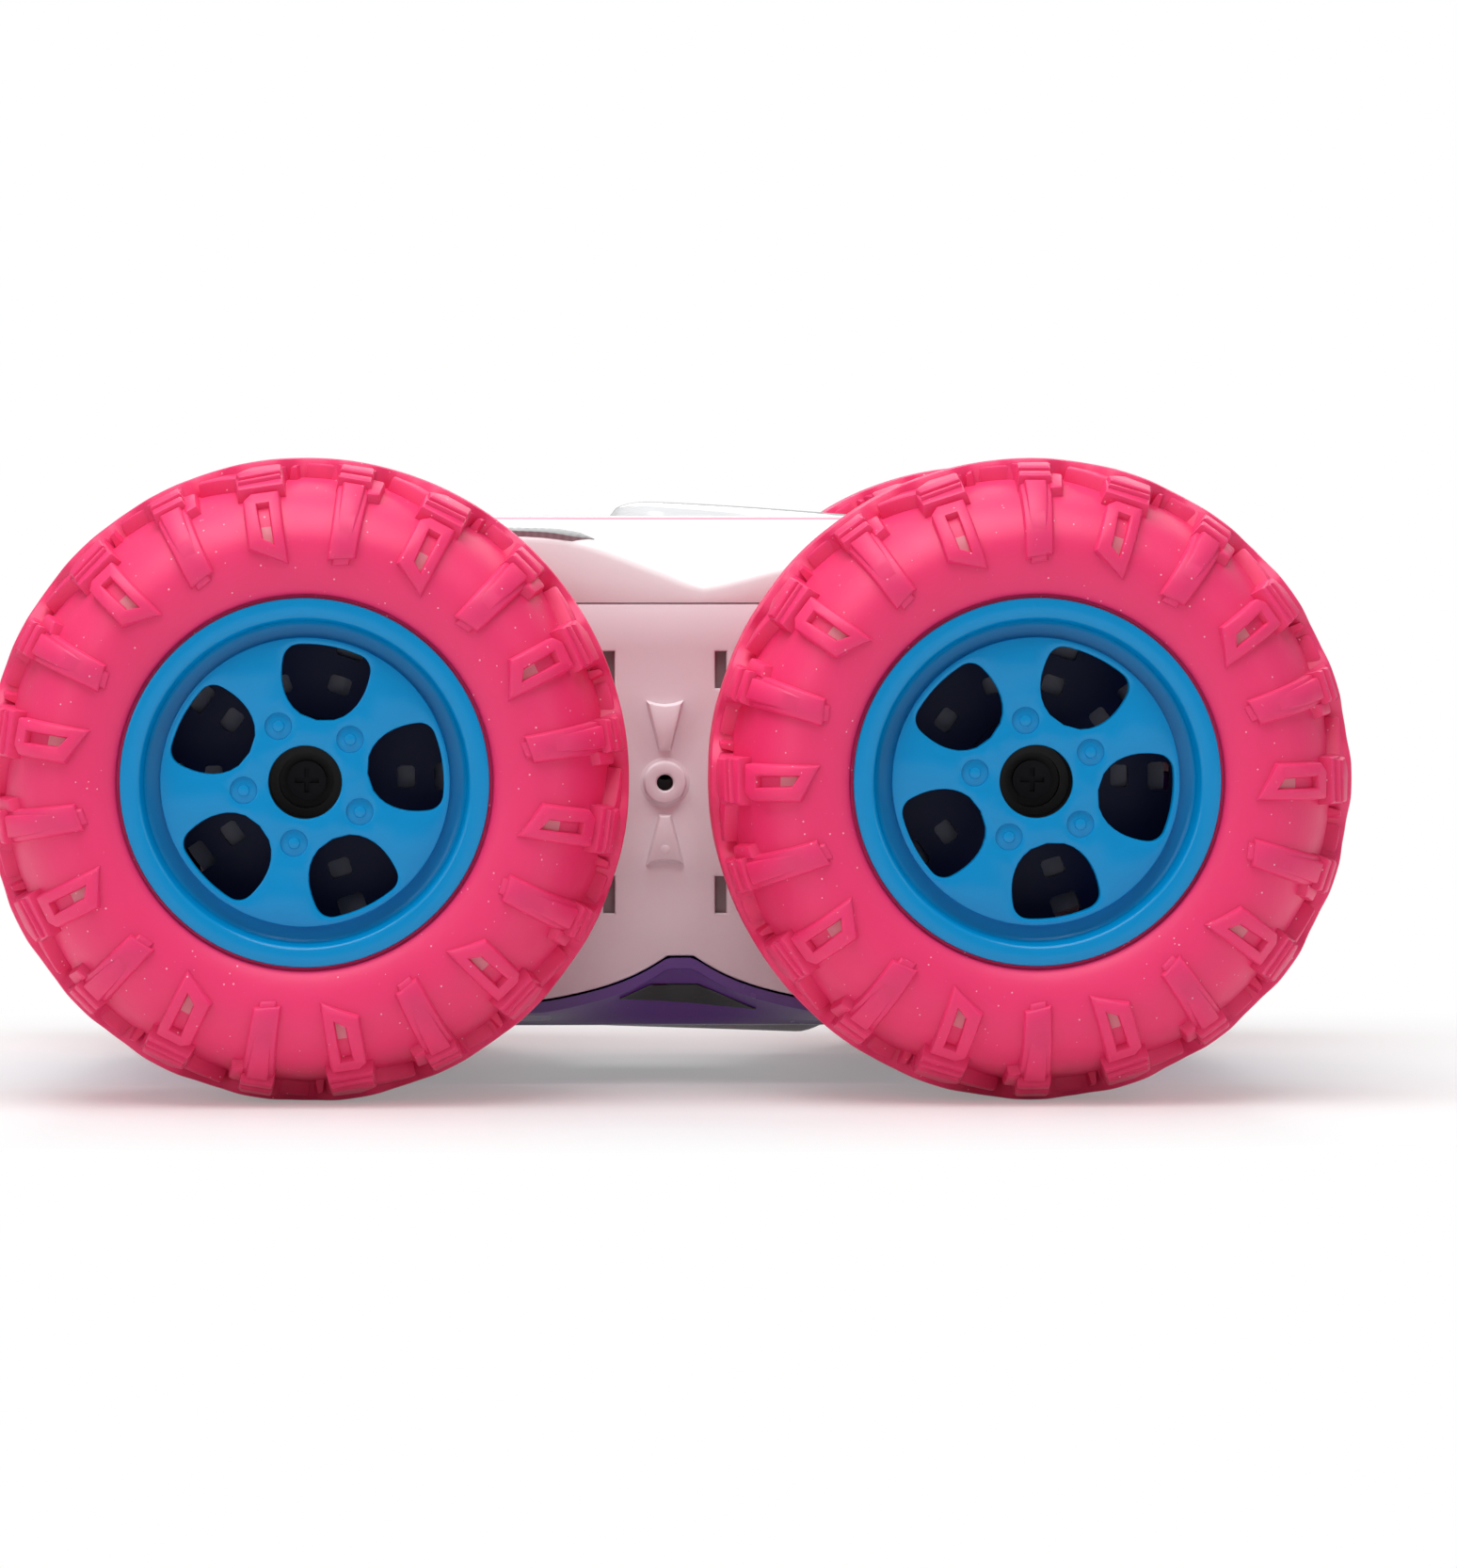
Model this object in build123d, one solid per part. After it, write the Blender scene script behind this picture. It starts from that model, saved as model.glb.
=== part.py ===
from build123d import *
from math import asin, atan, cos, degrees, hypot, pi, radians, sin, sqrt, tan
import os

# A four-wheel stunt car that drives either way up. X runs along the car, Y along the axles and
# Z up. The origin is on the ground, midway between the four wheels. Millimetres.
# Everything beside the middle is drawn for the right-hand side, where Y is negative, in a frame
# whose third axis points outboard. The left-hand side is the same side turned half a turn.

# Overall sizes
wheel_radius = 48.0
wheelbase = 108.0
wheel_gap = 3.0
body_half_width = 33.0
body_half_height = 39.5
body_end_gap = 10.0

# Tyres: a soft hollow balloon with a rib round the crown and lugs down both sides
tyre_half_width = 22.0
tyre_wall = 2.6
rib_half_width = 7.0
rib_height = 2.6
lug_height = 1.5
lug_count = 20
window_lug_width = 5.1
bar_lug_width = 4.6
lug_foot_radius = 33.5
tyre_turn = 26.6
shoulder_share = 0.68
shoulder_fall = 2.4
widest_fall = 10.4
bead_inset = 1.1
bead_rise = 0.4

# Rims: two moulded halves that trap the tyre between their lips
rim_radius = 27.2
rim_half_width = 20.4
rim_wall = 1.6
lip_width = 2.8
lip_thickness = 0.8
dish_depth = 3.0
disc_thickness = 2.2
seat_offset = 0.6
disc_inset = 0.4
nut_turn_step = 15.5
window_neck = 0.95
window_neck_half = 2.7
rear_disc_place = -8.0
window_count = 5
window_outer_radius = 20.4
window_apex_radius = 9.3
window_half_angle = 18.8
window_corner = 2.2
window_waist_place = 14.8
window_waist = 5.9
nut_circle = 9.15
nut_ring_radius = 1.9
nut_dot_radius = 0.84
nut_depth = 0.5
nut_phase = 43.5
hub_bore_radius = 5.4
hub_bore_length = 8.0
hub_radius = 7.2
rear_hub_radius = 8.8
rear_hub_depth = 6.0
rear_hub_raise = 1.5
rear_spigot_radius = 5.6
rear_spigot_depth = 8.0
slot_rings = (14.5, 20.5)
slot_sizes = (3.4, 4.2)
slots_per_ring = 10
slot_squash = 0.8
slot_corner = 0.7

# Axles and wheel screws
axle_radius = 2.5
axle_end_place = 4.15
screw_radius = 1.4
screw_head_radius = 2.9
screw_head_height = 2.0
screw_seat_thickness = 3.0
screw_bite = 9.0
screw_room = 1.2
axle_tail = 1.2

# Gear train, seen from the wheel side: wheel, idler, centre, idler, wheel
tooth_module = 1.0
gear_thickness = 4.0
reduction_teeth = 12
motor_module = 0.5
motor_pinion_teeth = 12
reduction_wheel_teeth = 36
reduction_wheel_thickness = 3.0
reduction_rise = 15.97
tooth_play = 0.30
pin_radius = 1.5
centre_pin_radius = 1.2
gear_rim_depth = 3.24
gear_web_depth = 1.1
gear_web_margin = 0.6
gear_hub_wall = 2.6
gear_hub_height = 0.8
gear_room = 2.2
reduction_room = 1.2
pressure_angle = 20.0
addendum = 0.9
dedendum = 1.2

# Gearbox trays and side panels
tray_inner_face = 18.4
tray_floor = 1.6
tray_wall = 1.5
tray_margin = 5.0
tray_low_margin = 4.5
tray_high = 28.0
tray_corner = 7.0
panel_thickness = 1.8
panel_overhang = 1.5
panel_top = 26.0
panel_low = -35.0
panel_peak = -28.2
panel_peak_half_flat = 2.0
panel_peak_place = 2.4
panel_wave_reach = 20.0
panel_centre_drop = 1.5
boss_radius = 3.2
boss_height = 1.2
boss_hole_radius = 1.27
boss_hole_skin = 0.4
vent_width = 1.73
vent_height = 5.7
vent_spacing = 17.2
vent_rise = 17.3
rib_outer_width = 5.5
rib_inner_width = 1.7
rib_start = 5.1
rib_end = 12.4
rib_raise = 0.8
post_radius = 2.6
post_reach = 11.5
post_high = 19.5
low_post_bearing = -49.6
low_post_gap = 0.75
case_screw_radius = 1.0
case_screw_head_radius = 2.1
case_screw_head_height = 1.6
middle_post_place = -6.0
middle_post_rise = 22.0
post_height = 6.0
post_skin = 0.6
pin_boss_wall = 2.0
pin_boss_height = 0.8
pin_cap_wall = 1.6
pin_skin = 0.9
cap_gap = 0.6
panel_corner = 8.0
panel_room = 1.5
panel_waist = -4.0
panel_end_low = 12.0

# Bushes
bush_wall = 1.5
bush_flange = 1.0
bush_flange_thickness = 0.6

# Motors and their shafts
motor_radius = 10.0
motor_half_flat = 7.7
motor_length = 25.0
motor_boss_radius = 3.1
motor_boss_height = 1.4
motor_shaft_radius = 1.0
tab_reach = 7.0
tab_height = 2.4
cradle_depth = 6.0
cradle_wall = 1.2
end_cap_height = 1.6
tab_half_thickness = 0.5
tab_half_width = 1.2
shaft_tail = 1.0
shaft_lead = 0.6
pinion_start_gap = 0.3
pinion_lead = 0.4

# Shells
shell_wall = 2.0
shoulder_drop = 9.8
top_half_width = 24.0
end_high = 18.0
end_corner_inset = 14.0
end_corner_rise = 34.0
roof_end_inset = 32.0
body_corner = 6.0
shoulder_corner = 3.0
post_place_x = 47.0
post_place_y = 10.0
shell_post_radius = 3.6
shell_screw_radius = 1.3
shell_screw_head_radius = 2.6
shell_screw_head_height = 2.0
shell_screw_seat_depth = 12.0
shell_screw_bite = 9.0
shell_pilot_depth = 12.0

# Canopies and windows
canopy_height = 2.3
canopy_half_width = 14.0
canopy_foot = -8.0
canopy_peak = -1.5
canopy_tail = 42.0
canopy_flat = 8.0
window_low_half_length = 15.5
window_low_height = 6.0
window_low_thickness = 1.2
window_low_margin = 3.0
window_low_seat = 0.2

# Battery, its door, the circuit board and the switch
battery_length = 50.0
battery_width = 29.0
battery_height = 14.5
battery_play = 0.4
box_wall = 1.4
battery_rise = 2.6
pad_half_length = 4.0
pad_from_end = 8.0
pad_inset = 4.0
cell_web_share = 0.5
door_half_length = 31.0
door_half_width = 16.9
door_bulge = 2.4
door_ledge = 1.0
door_hump_start = 4.0
door_hump_top = 12.0
door_hump_side = 2.0
deck_thickness = 1.8
deck_half_length = 66.0
lead_gap_near = 2.4
lead_gap_far = 6.0
lead_gap_half_width = 5.0
board_length = 44.0
board_width = 28.0
board_thickness = 1.6
standoff_height = 14.0
standoff_radius = 2.0
standoff_inset = 3.0
main_chip = (-6.0, 6.0, -5.0, 5.0, 1.2)
small_chip = (-16.0, -11.5, 2.0, 9.0, 0.9)
coil_radius = 2.4
coil_height = 5.0
coil_x = 15.0
coil_y = -6.0
switch_place = -41.5
switch_length = 13.0
switch_width = 6.4
switch_height = 5.0
knob_length = 3.6
knob_width = 3.0
knob_travel = 3.0
knob_reach = 1.2
switch_roof = 1.2
switch_seat = 0.1
socket_x = 11.5
socket_y = 7.0
socket_length = 7.0
socket_width = 6.0
socket_height = 4.0
lead_radius = 0.7
lead_spread = 1.8
lead_bend = 3.0
lead_rise = 4.5
lead_turn_out = 2.4
lead_drop = 6.0

# Clearances
seam = 0.3
running = 0.06
push = 0.03
loose = 0.15
bite = 0.1

# Places that follow from the sizes above
axle_height = wheel_radius
half_base = wheelbase / 2
wheel_middle = body_half_width + wheel_gap + tyre_half_width
gear_pitch = wheelbase / 4
train_teeth = round(gear_pitch / tooth_module)
train_module = gear_pitch / train_teeth
train_radius = gear_pitch / 2
tray_face = tray_inner_face + tray_floor
tray_half_length = half_base + train_radius + tray_margin
tray_low = -train_radius - tray_low_margin
panel_half_length = tray_half_length + panel_overhang
low_post_ring = train_radius + addendum * train_module + post_radius + low_post_gap
panel_outer = body_half_width
panel_inner = panel_outer - panel_thickness
gear_end = panel_inner - gear_room
gear_start = gear_end - gear_thickness
reduction_start = tray_face + reduction_room
reduction_end = reduction_start + reduction_wheel_thickness
reduction_radius = reduction_teeth * train_module / 2
reduction_reach = train_radius + reduction_radius
reduction_bearing = 180 - degrees(asin(reduction_rise / reduction_reach))
reduction_x = gear_pitch + reduction_reach * cos(radians(reduction_bearing))
reduction_z = axle_height + reduction_rise
motor_reach = (reduction_wheel_teeth + motor_pinion_teeth) * motor_module / 2
motor_x = reduction_x + motor_reach
motor_z = reduction_z
body_half_length = half_base + wheel_radius - body_end_gap
roof_half_length = body_half_length - roof_end_inset
body_bottom = axle_height - body_half_height
body_top = axle_height + body_half_height
floor_top = body_bottom + shell_wall
battery_bottom = floor_top + battery_rise
battery_top = battery_bottom + battery_height
deck_bottom = battery_top + battery_play
deck_top = deck_bottom + deck_thickness
board_bottom = deck_top + standoff_height
split_height = axle_height
panel_centre = axle_height - panel_centre_drop
seat_radius = rim_radius - lip_width
post_split = tray_face + post_height
shell_screw_seat = split_height - shell_screw_seat_depth


def outboard(part, x=0.0, z=0.0):
    """Moves a part from the side frame to its place on the right-hand side of the car."""
    side = Plane(origin=(0, 0, 0), x_dir=(1, 0, 0), z_dir=(0, -1, 0))
    return side.location * (Pos(x, z, 0) * part)


def other_side(part):
    """The same part on the left-hand side."""
    return Rot(0, 0, 180) * part


def rod(radius, start, end, x=0.0, z=0.0):
    """A round bar along the axle direction, in the side frame."""
    return Pos(x, z, start) * Cylinder(radius, end - start, align=(Align.CENTER, Align.CENTER, Align.MIN))


def tube(outer, inner, start, end, x=0.0, z=0.0):
    return rod(outer, start, end, x, z) - rod(inner, start - 1, end + 1, x, z)


def bar(x0, x1, y0, y1, z0, z1):
    """A block between two corners."""
    return Pos(x0, y0, z0) * Box(x1 - x0, y1 - y0, z1 - z0, align=(Align.MIN, Align.MIN, Align.MIN))


def upright(radius, z0, z1, x=0.0, y=0.0):
    """A round post along Z, in the car's frame."""
    return Pos(x, y, z0) * Cylinder(radius, z1 - z0, align=(Align.CENTER, Align.CENTER, Align.MIN))


def slab(sketch, start, end):
    """A plate with the sketch's outline, in the side frame."""
    return Pos(0, 0, start) * extrude(sketch, end - start)


def spun(section):
    """A section drawn with its radius along X and its place along Y, turned into a ring."""
    return Rot(0, 0, -90) * (Rot(90, 0, 0) * revolve(section, Axis.Y, 360))


# Gears


def involute_point(base, radius, start):
    """A point on a tooth flank at a radius, for a flank that leaves the base circle at start."""
    spread = sqrt(max((radius / base) ** 2 - 1, 0))
    angle = start + spread - atan(spread)
    return radius * cos(angle), radius * sin(angle)


def gear_outline(teeth, module, play, phase=0.0):
    """An involute gear's outline with a tooth centred at phase degrees."""
    pressure = radians(pressure_angle)
    pitch_radius = teeth * module / 2
    base = pitch_radius * cos(pressure)
    root = pitch_radius - dedendum * module
    tip = pitch_radius + addendum * module
    half_tooth = (pi * module / 4 - play * module / 2) / pitch_radius
    start = -(half_tooth + tan(pressure) - pressure)
    foot = (root * cos(start), root * sin(start))
    side = [foot] + [involute_point(base, radius, start) for radius in (pitch_radius, tip)]
    tooth = side + [(x, -y) for x, y in reversed(side)]
    points = []
    for n in range(teeth):
        turn = radians(phase) + 2 * pi * n / teeth
        points += [(x * cos(turn) - y * sin(turn), x * sin(turn) + y * cos(turn)) for x, y in tooth]
    return make_face(Polyline(*points, close=True))


def next_phase(bearing, phase, teeth, next_teeth):
    """The phase of a gear that meshes with one whose tooth is at phase, on a bearing from it."""
    part_turn = ((bearing - phase) * teeth / 360) % 1
    return bearing + 180 + (part_turn - 0.5) * 360 / next_teeth


def train_phases():
    """Phases of the five train gears from the front wheel's to the rear wheel's."""
    phases = [0.0]
    for _ in range(4):
        phases.append(next_phase(180, phases[-1], train_teeth, train_teeth))
    return phases


def train_gear(phase, bore):
    """One of the five equal gears, with a hub on its inner face and a recessed web."""
    gear = slab(gear_outline(train_teeth, train_module, tooth_play, phase), gear_start, gear_end)
    gear_hub = pin_radius + gear_hub_wall
    web_outer = train_radius - gear_rim_depth
    web = tube(web_outer, gear_hub + gear_web_margin, gear_end - gear_web_depth, gear_end + 1)
    hub = rod(gear_hub, gear_start - gear_hub_height, gear_start + bite)
    return gear + hub - web - rod(bore, gear_start - 2, gear_end + 1)


def reduction_gear(phase, wheel_phase):
    """The two-step gear that the motor drives."""
    outline = gear_outline(reduction_teeth, train_module, tooth_play, phase)
    small = slab(outline, reduction_end - bite, gear_end)
    large = slab(
        gear_outline(reduction_wheel_teeth, motor_module, tooth_play, wheel_phase),
        reduction_start,
        reduction_end,
    )
    return small + large - rod(pin_radius + running, reduction_start - 1, gear_end + 1)


def motor_pinion(phase):
    """The small brass gear pressed on the motor's shaft."""
    outline = gear_outline(motor_pinion_teeth, motor_module, tooth_play, phase)
    pinion = slab(outline, reduction_start - pinion_start_gap, reduction_end + pinion_lead)
    return pinion - rod(motor_shaft_radius + push, tray_face, reduction_end + 2)


# Wheels


def carcass_line(grow):
    """Half of the tyre's outer curve, from the crown to the bead, grown outward by grow."""
    crown = wheel_radius - rib_height
    shoulder = (tyre_half_width * shoulder_share, crown - shoulder_fall)
    widest = (tyre_half_width + grow, crown - widest_fall)
    foot = (rim_half_width - bead_inset + 0.9 * grow, rim_radius + bead_rise)
    start = (0, crown + grow)
    middle = (shoulder[0] + 0.55 * grow, shoulder[1] + 0.85 * grow)
    top = TangentArc(start, middle, tangent=(1, 0))
    side = TangentArc(middle, widest, tangent=top % 1)
    low = TangentArc(widest, foot, tangent=side % 1)
    return top + side + low


def carcass_section(grow, seat):
    """The full section between the two beads, closed along the seat radius."""
    half = carcass_line(grow)
    foot = half @ 1
    crown = half @ 0
    right = half + Line(foot, (foot.X, seat)) + Line((foot.X, seat), (0, seat))
    face = make_face(right + Line((0, seat), (crown.X, crown.Y)))
    half_face = Rot(0, 0, 90) * mirror(face, Plane.YZ)
    return half_face


def carcass(grow, seat):
    """The solid inside the tyre's outer surface, both halves."""
    half = carcass_section(grow, seat)
    near = spun(half)
    return near + mirror(near, Plane.XY)


def lug(width, turn, side):
    """A bar across the sidewall, cut later to the tyre's curve."""
    block = bar(lug_foot_radius, wheel_radius - 0.6, -width / 2, width / 2, rib_half_width - 1, 40)
    placed = Rot(0, 0, turn) * block
    return placed if side > 0 else mirror(placed, Plane.XY)


def tyre():
    """The hollow tyre with its crown rib, its beads and its lugs."""
    seat = seat_radius + rim_wall - seat_offset / 2
    outer = carcass(0, seat)
    inner = carcass(-tyre_wall, seat - 1)
    rib = tube(wheel_radius, wheel_radius - rib_height - 1.2, -rib_half_width, rib_half_width)
    band = carcass(lug_height, seat) - carcass(-1.0, seat - 1)
    pitch = 360 / lug_count
    lugs = []
    for side in (1, -1):
        for n in range(lug_count):
            width = window_lug_width if n % 2 == 0 else bar_lug_width
            lugs.append(lug(width, n * pitch + (0 if side > 0 else pitch / 2), side))
    raised = band & (Part() + lugs)
    return outer + rib + raised - inner


def barrel(start, end):
    """The thin drum that the tyre's beads sit on."""
    return tube(seat_radius + rim_wall - seat_offset, seat_radius - seat_offset, start, end)


def rim_window():
    """One of the five openings in the rim's face, drawn pointing along X."""
    corner_x = window_outer_radius * cos(radians(window_half_angle))
    corner_y = window_outer_radius * sin(radians(window_half_angle))
    neck_x = window_apex_radius + window_neck
    neck_y = window_neck_half
    rim_edge = ThreePointArc((corner_x, -corner_y), (window_outer_radius, 0), (corner_x, corner_y))
    upper = ThreePointArc((corner_x, corner_y), (window_waist_place, window_waist), (neck_x, neck_y))
    apex = ThreePointArc((neck_x, neck_y), (window_apex_radius, 0), (neck_x, -neck_y))
    lower = ThreePointArc((neck_x, -neck_y), (window_waist_place, -window_waist), (corner_x, -corner_y))
    face = make_face(rim_edge + upper + apex + lower)
    corners = face.vertices().sort_by(Axis.X)[-2:]
    return fillet(corners, window_corner)


def rim_outer(phase):
    """The outer half of a rim, with its face, five windows, false nuts and hub."""
    face_place = rim_half_width - dish_depth
    seat_end = face_place - hub_bore_length
    floor_start = axle_end_place
    lip = tube(rim_radius, seat_radius, rim_half_width - lip_thickness, rim_half_width)
    flare_radius = seat_radius + rim_wall - seat_offset
    flare = tube(flare_radius, seat_radius, face_place - disc_thickness, rim_half_width - lip_thickness)
    skirt = barrel(seam / 2, face_place)
    disc = rod(seat_radius - disc_inset, face_place - disc_thickness, face_place)
    half = lip + flare + skirt + disc + rod(hub_radius, seam / 2, face_place)
    half -= rod(hub_bore_radius, seat_end, rim_half_width)
    half -= rod(screw_head_radius + screw_room, floor_start + screw_seat_thickness, seat_end + 1)
    half -= rod(screw_radius + loose, 0, rim_half_width)
    half -= rod(axle_radius + push, -1, floor_start)
    for n in range(window_count):
        turn = phase + 360 / window_count * n
        opening = Rot(0, 0, turn + 180 / window_count) * rim_window()
        half -= slab(opening, face_place - disc_thickness - 1, face_place + 1)
        ring = tube(nut_ring_radius, nut_dot_radius, face_place - nut_depth, face_place + 1)
        half -= Rot(0, 0, turn) * (Pos(nut_circle, 0, 0) * ring)
    return half


def rim_inner():
    """The inner half of a rim: barrel, lip, slotted disc and the hub that the axle drives."""
    lip = tube(rim_radius, seat_radius, -rim_half_width, lip_thickness - rim_half_width)
    skirt = barrel(-rim_half_width + 0.2, -seam / 2)
    disc = rod(seat_radius - disc_inset, rear_disc_place - disc_thickness, rear_disc_place)
    half = lip + skirt + disc
    half += rod(rear_hub_radius, rear_disc_place - rear_hub_depth, rear_disc_place + rear_hub_raise)
    half += rod(rear_spigot_radius, rear_disc_place - rear_spigot_depth, -seam / 2)
    for radius, size in zip(slot_rings, slot_sizes):
        for n in range(slots_per_ring):
            slot = Pos(radius, 0, 0) * RectangleRounded(size * slot_squash, size, slot_corner)
            cutter = slab(slot, rear_disc_place - disc_thickness - 1, rear_disc_place + 1)
            half -= Rot(0, 0, 360 / slots_per_ring * n) * cutter
    return half - rod(axle_radius + push, -rim_half_width, 1)


def axle():
    """The steel stub axle, from the gearbox tray to the wheel's hub."""
    end = wheel_middle + axle_end_place - bite
    shaft = rod(axle_radius, tray_inner_face - axle_tail, end)
    return shaft - rod(screw_radius + push, end - screw_bite - 1, end + 1)


def cross_slot(radius, depth, top):
    """The cross recess in a screw's head."""
    arm = bar(-radius * 0.62, radius * 0.62, -radius * 0.13, radius * 0.13, top - depth, top + 1)
    return arm + Rot(0, 0, 90) * arm


def screw(shank_radius, shank_start, head_radius, seat, head_height):
    """A pan-head screw along the side frame's third axis, with its head outboard of its seat."""
    body = rod(shank_radius, shank_start, seat + 0.1) + rod(head_radius, seat, seat + head_height)
    return body - cross_slot(head_radius, head_height * 0.55, seat + head_height)


def wheel_screw():
    """The screw that holds the rim's outer half on to the axle's end."""
    axle_end = wheel_middle + axle_end_place
    seat = axle_end + screw_seat_thickness
    return screw(screw_radius, axle_end - screw_bite, screw_head_radius, seat, screw_head_height)


# Gearbox and side panel


def post_places():
    """Where the screws join each panel to its tray, beside and below the gears."""
    high = half_base + post_reach
    low = half_base + low_post_ring * cos(radians(low_post_bearing))
    low_rise = low_post_ring * sin(radians(low_post_bearing))
    corners = [(high, post_high), (-high, post_high), (low, low_rise), (-low, low_rise)]
    return corners + [(middle_post_place, middle_post_rise)]


def tray():
    """The gearbox's inner half: a floor with a wall all round, pin holes, posts and motor cradle."""
    middle = (tray_high + tray_low) / 2
    face = RectangleRounded(2 * tray_half_length, tray_high - tray_low, tray_corner)
    outline = Pos(0, axle_height + middle) * face
    inside = offset(outline, -tray_wall)
    wall_end = panel_inner - seam
    box = slab(outline, tray_inner_face, wall_end) - slab(inside, tray_face, wall_end + 1)
    bush_hole = axle_radius + running + bush_wall + push
    for x in (-half_base, half_base):
        box -= rod(bush_hole, tray_inner_face - 1, tray_face + 1, x, axle_height)
    box += tube(
        motor_radius + loose + cradle_wall,
        motor_radius + loose,
        tray_inner_face - cradle_depth,
        tray_inner_face,
        motor_x,
        motor_z,
    )
    for x, z in pin_places():
        box += rod(pin_radius + pin_boss_wall, tray_face - bite, tray_face + pin_boss_height, x, z)
        box -= rod(pin_radius + push, tray_inner_face - 1, tray_face + 2, x, z)
    centre_boss = centre_pin_radius + pin_boss_wall
    box += rod(centre_boss, tray_face - bite, tray_face + pin_boss_height, 0, axle_height)
    box -= rod(centre_pin_radius + push, tray_inner_face - 1, tray_face + 2, 0, axle_height)
    box -= rod(motor_boss_radius + loose, tray_inner_face - 1, tray_face + 1, motor_x, motor_z)
    for x, z in post_places():
        box += rod(post_radius, tray_face - bite, post_split - seam, x, axle_height + z)
        box -= rod(case_screw_radius + loose, tray_inner_face - 1, post_split + 1, x, axle_height + z)
    return box


def pin_places():
    """The two idlers and the reduction gear."""
    return [(gear_pitch, axle_height), (-gear_pitch, axle_height), (reduction_x, reduction_z)]


def panel_outline(grow=0.0):
    """The panel's face: a straight top, round ends and a wave in the lower edge."""
    half = panel_half_length + grow
    top = axle_height + panel_top + grow
    low = axle_height + panel_low - grow
    peak = axle_height + panel_peak - grow
    left_flat = panel_peak_place - panel_peak_half_flat
    right_flat = panel_peak_place + panel_peak_half_flat
    left_foot = left_flat - panel_wave_reach
    right_foot = right_flat + panel_wave_reach
    waist = axle_height + panel_waist
    end_low = half_base + panel_end_low
    wave_left = Spline((left_foot, low), (left_flat, peak), tangents=[(1, 0), (1, 0)])
    wave_right = Spline((right_flat, peak), (right_foot, low), tangents=[(1, 0), (1, 0)])
    edges = [
        Line((-half, top), (half, top)),
        Line((half, top), (half, waist)),
        Line((half, waist), (end_low, low)),
        Line((end_low, low), (right_foot, low)),
        wave_right,
        Line((right_flat, peak), (left_flat, peak)),
        wave_left,
        Line((left_foot, low), (-end_low, low)),
        Line((-end_low, low), (-half, waist)),
        Line((-half, waist), (-half, top)),
    ]
    face = make_face(edges)
    ends = [v for v in face.vertices() if abs(v.X) > half - 0.01 or abs(abs(v.X) - end_low) < 0.01]
    return fillet(ends, panel_corner)


def tapered_rib(way):
    """A raised fan-shaped rib above or below the panel's boss."""
    start = way * rib_start
    end = way * rib_end
    return make_face(
        Polyline(
            (-rib_inner_width / 2, start),
            (rib_inner_width / 2, start),
            (rib_outer_width / 2, end),
            (-rib_outer_width / 2, end),
            close=True,
        )
    )


def side_panel():
    """The white side panel with its boss, ribs, vents, posts and bush holes."""
    panel = slab(panel_outline(), panel_inner, panel_outer)
    panel += rod(boss_radius, panel_outer - bite, panel_outer + boss_height, 0, panel_centre)
    for way in (1, -1):
        rib = slab(tapered_rib(way), panel_outer - bite, panel_outer + rib_raise)
        panel += Pos(0, panel_centre, 0) * rib
    for x, z in pin_places():
        panel += rod(pin_radius + pin_cap_wall, gear_end + cap_gap, panel_inner + bite, x, z)
        panel -= rod(pin_radius + push, gear_end, panel_outer - pin_skin, x, z)
    centre_cap = centre_pin_radius + pin_boss_wall
    panel += rod(centre_cap, gear_end + cap_gap, panel_inner + bite, 0, axle_height)
    panel -= rod(centre_pin_radius + push, gear_end, panel_inner + 2 * bite, 0, axle_height)
    panel -= rod(boss_hole_radius, panel_inner + boss_hole_skin, panel_outer + 3, 0, panel_centre)
    for side_x in (-0.5, 0.5):
        for side_z in (-1, 1):
            vent = slab(Rectangle(vent_width, vent_height), 0, panel_outer + 1)
            panel -= Pos(side_x * vent_spacing, panel_centre + side_z * vent_rise, 0) * vent
    bush_hole = axle_radius + running + bush_wall + push
    for x in (-half_base, half_base):
        panel -= rod(bush_hole, 0, panel_outer + 1, x, axle_height)
    for x, z in post_places():
        panel += rod(post_radius, post_split, panel_inner + bite, x, axle_height + z)
        pilot = case_screw_radius + push
        panel -= rod(pilot, post_split - 1, panel_inner - post_skin, x, axle_height + z)
    return panel


def case_screws():
    """The screws that hold a panel to its tray, driven from inside."""
    group = []
    for x, z in post_places():
        shank = rod(case_screw_radius, tray_inner_face - bite, panel_inner - 1.0, x, axle_height + z)
        head = rod(
            case_screw_head_radius,
            tray_inner_face - case_screw_head_height,
            tray_inner_face,
            x,
            axle_height + z,
        )
        group.append(shank + head)
    return group


def gear_pins():
    """The steel pins that the idlers, the centre gear and the reduction gear turn on."""
    group = [rod(pin_radius, tray_inner_face, panel_outer - 1.0, x, z) for x, z in pin_places()]
    group.append(rod(centre_pin_radius, tray_inner_face, panel_inner + bite, 0, axle_height))
    return group


def bush(start, end, flange_at):
    """A flanged sleeve round an axle."""
    outer = axle_radius + running + bush_wall
    sleeve = rod(outer, start, end)
    flange = rod(outer + bush_flange, flange_at, flange_at + bush_flange_thickness)
    return sleeve + flange - rod(axle_radius + running, start - 2, end + 2)


def bushes():
    """The four bushes on one side: one in the tray and one in the panel at each axle."""
    group = []
    outer_flange = panel_inner - bush_flange_thickness
    for x in (-half_base, half_base):
        inner = bush(tray_inner_face, tray_face + bush_flange_thickness, tray_face)
        outer = bush(outer_flange, panel_outer, outer_flange)
        group += [Pos(x, axle_height, 0) * inner, Pos(x, axle_height, 0) * outer]
    return group


# Motors


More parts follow.
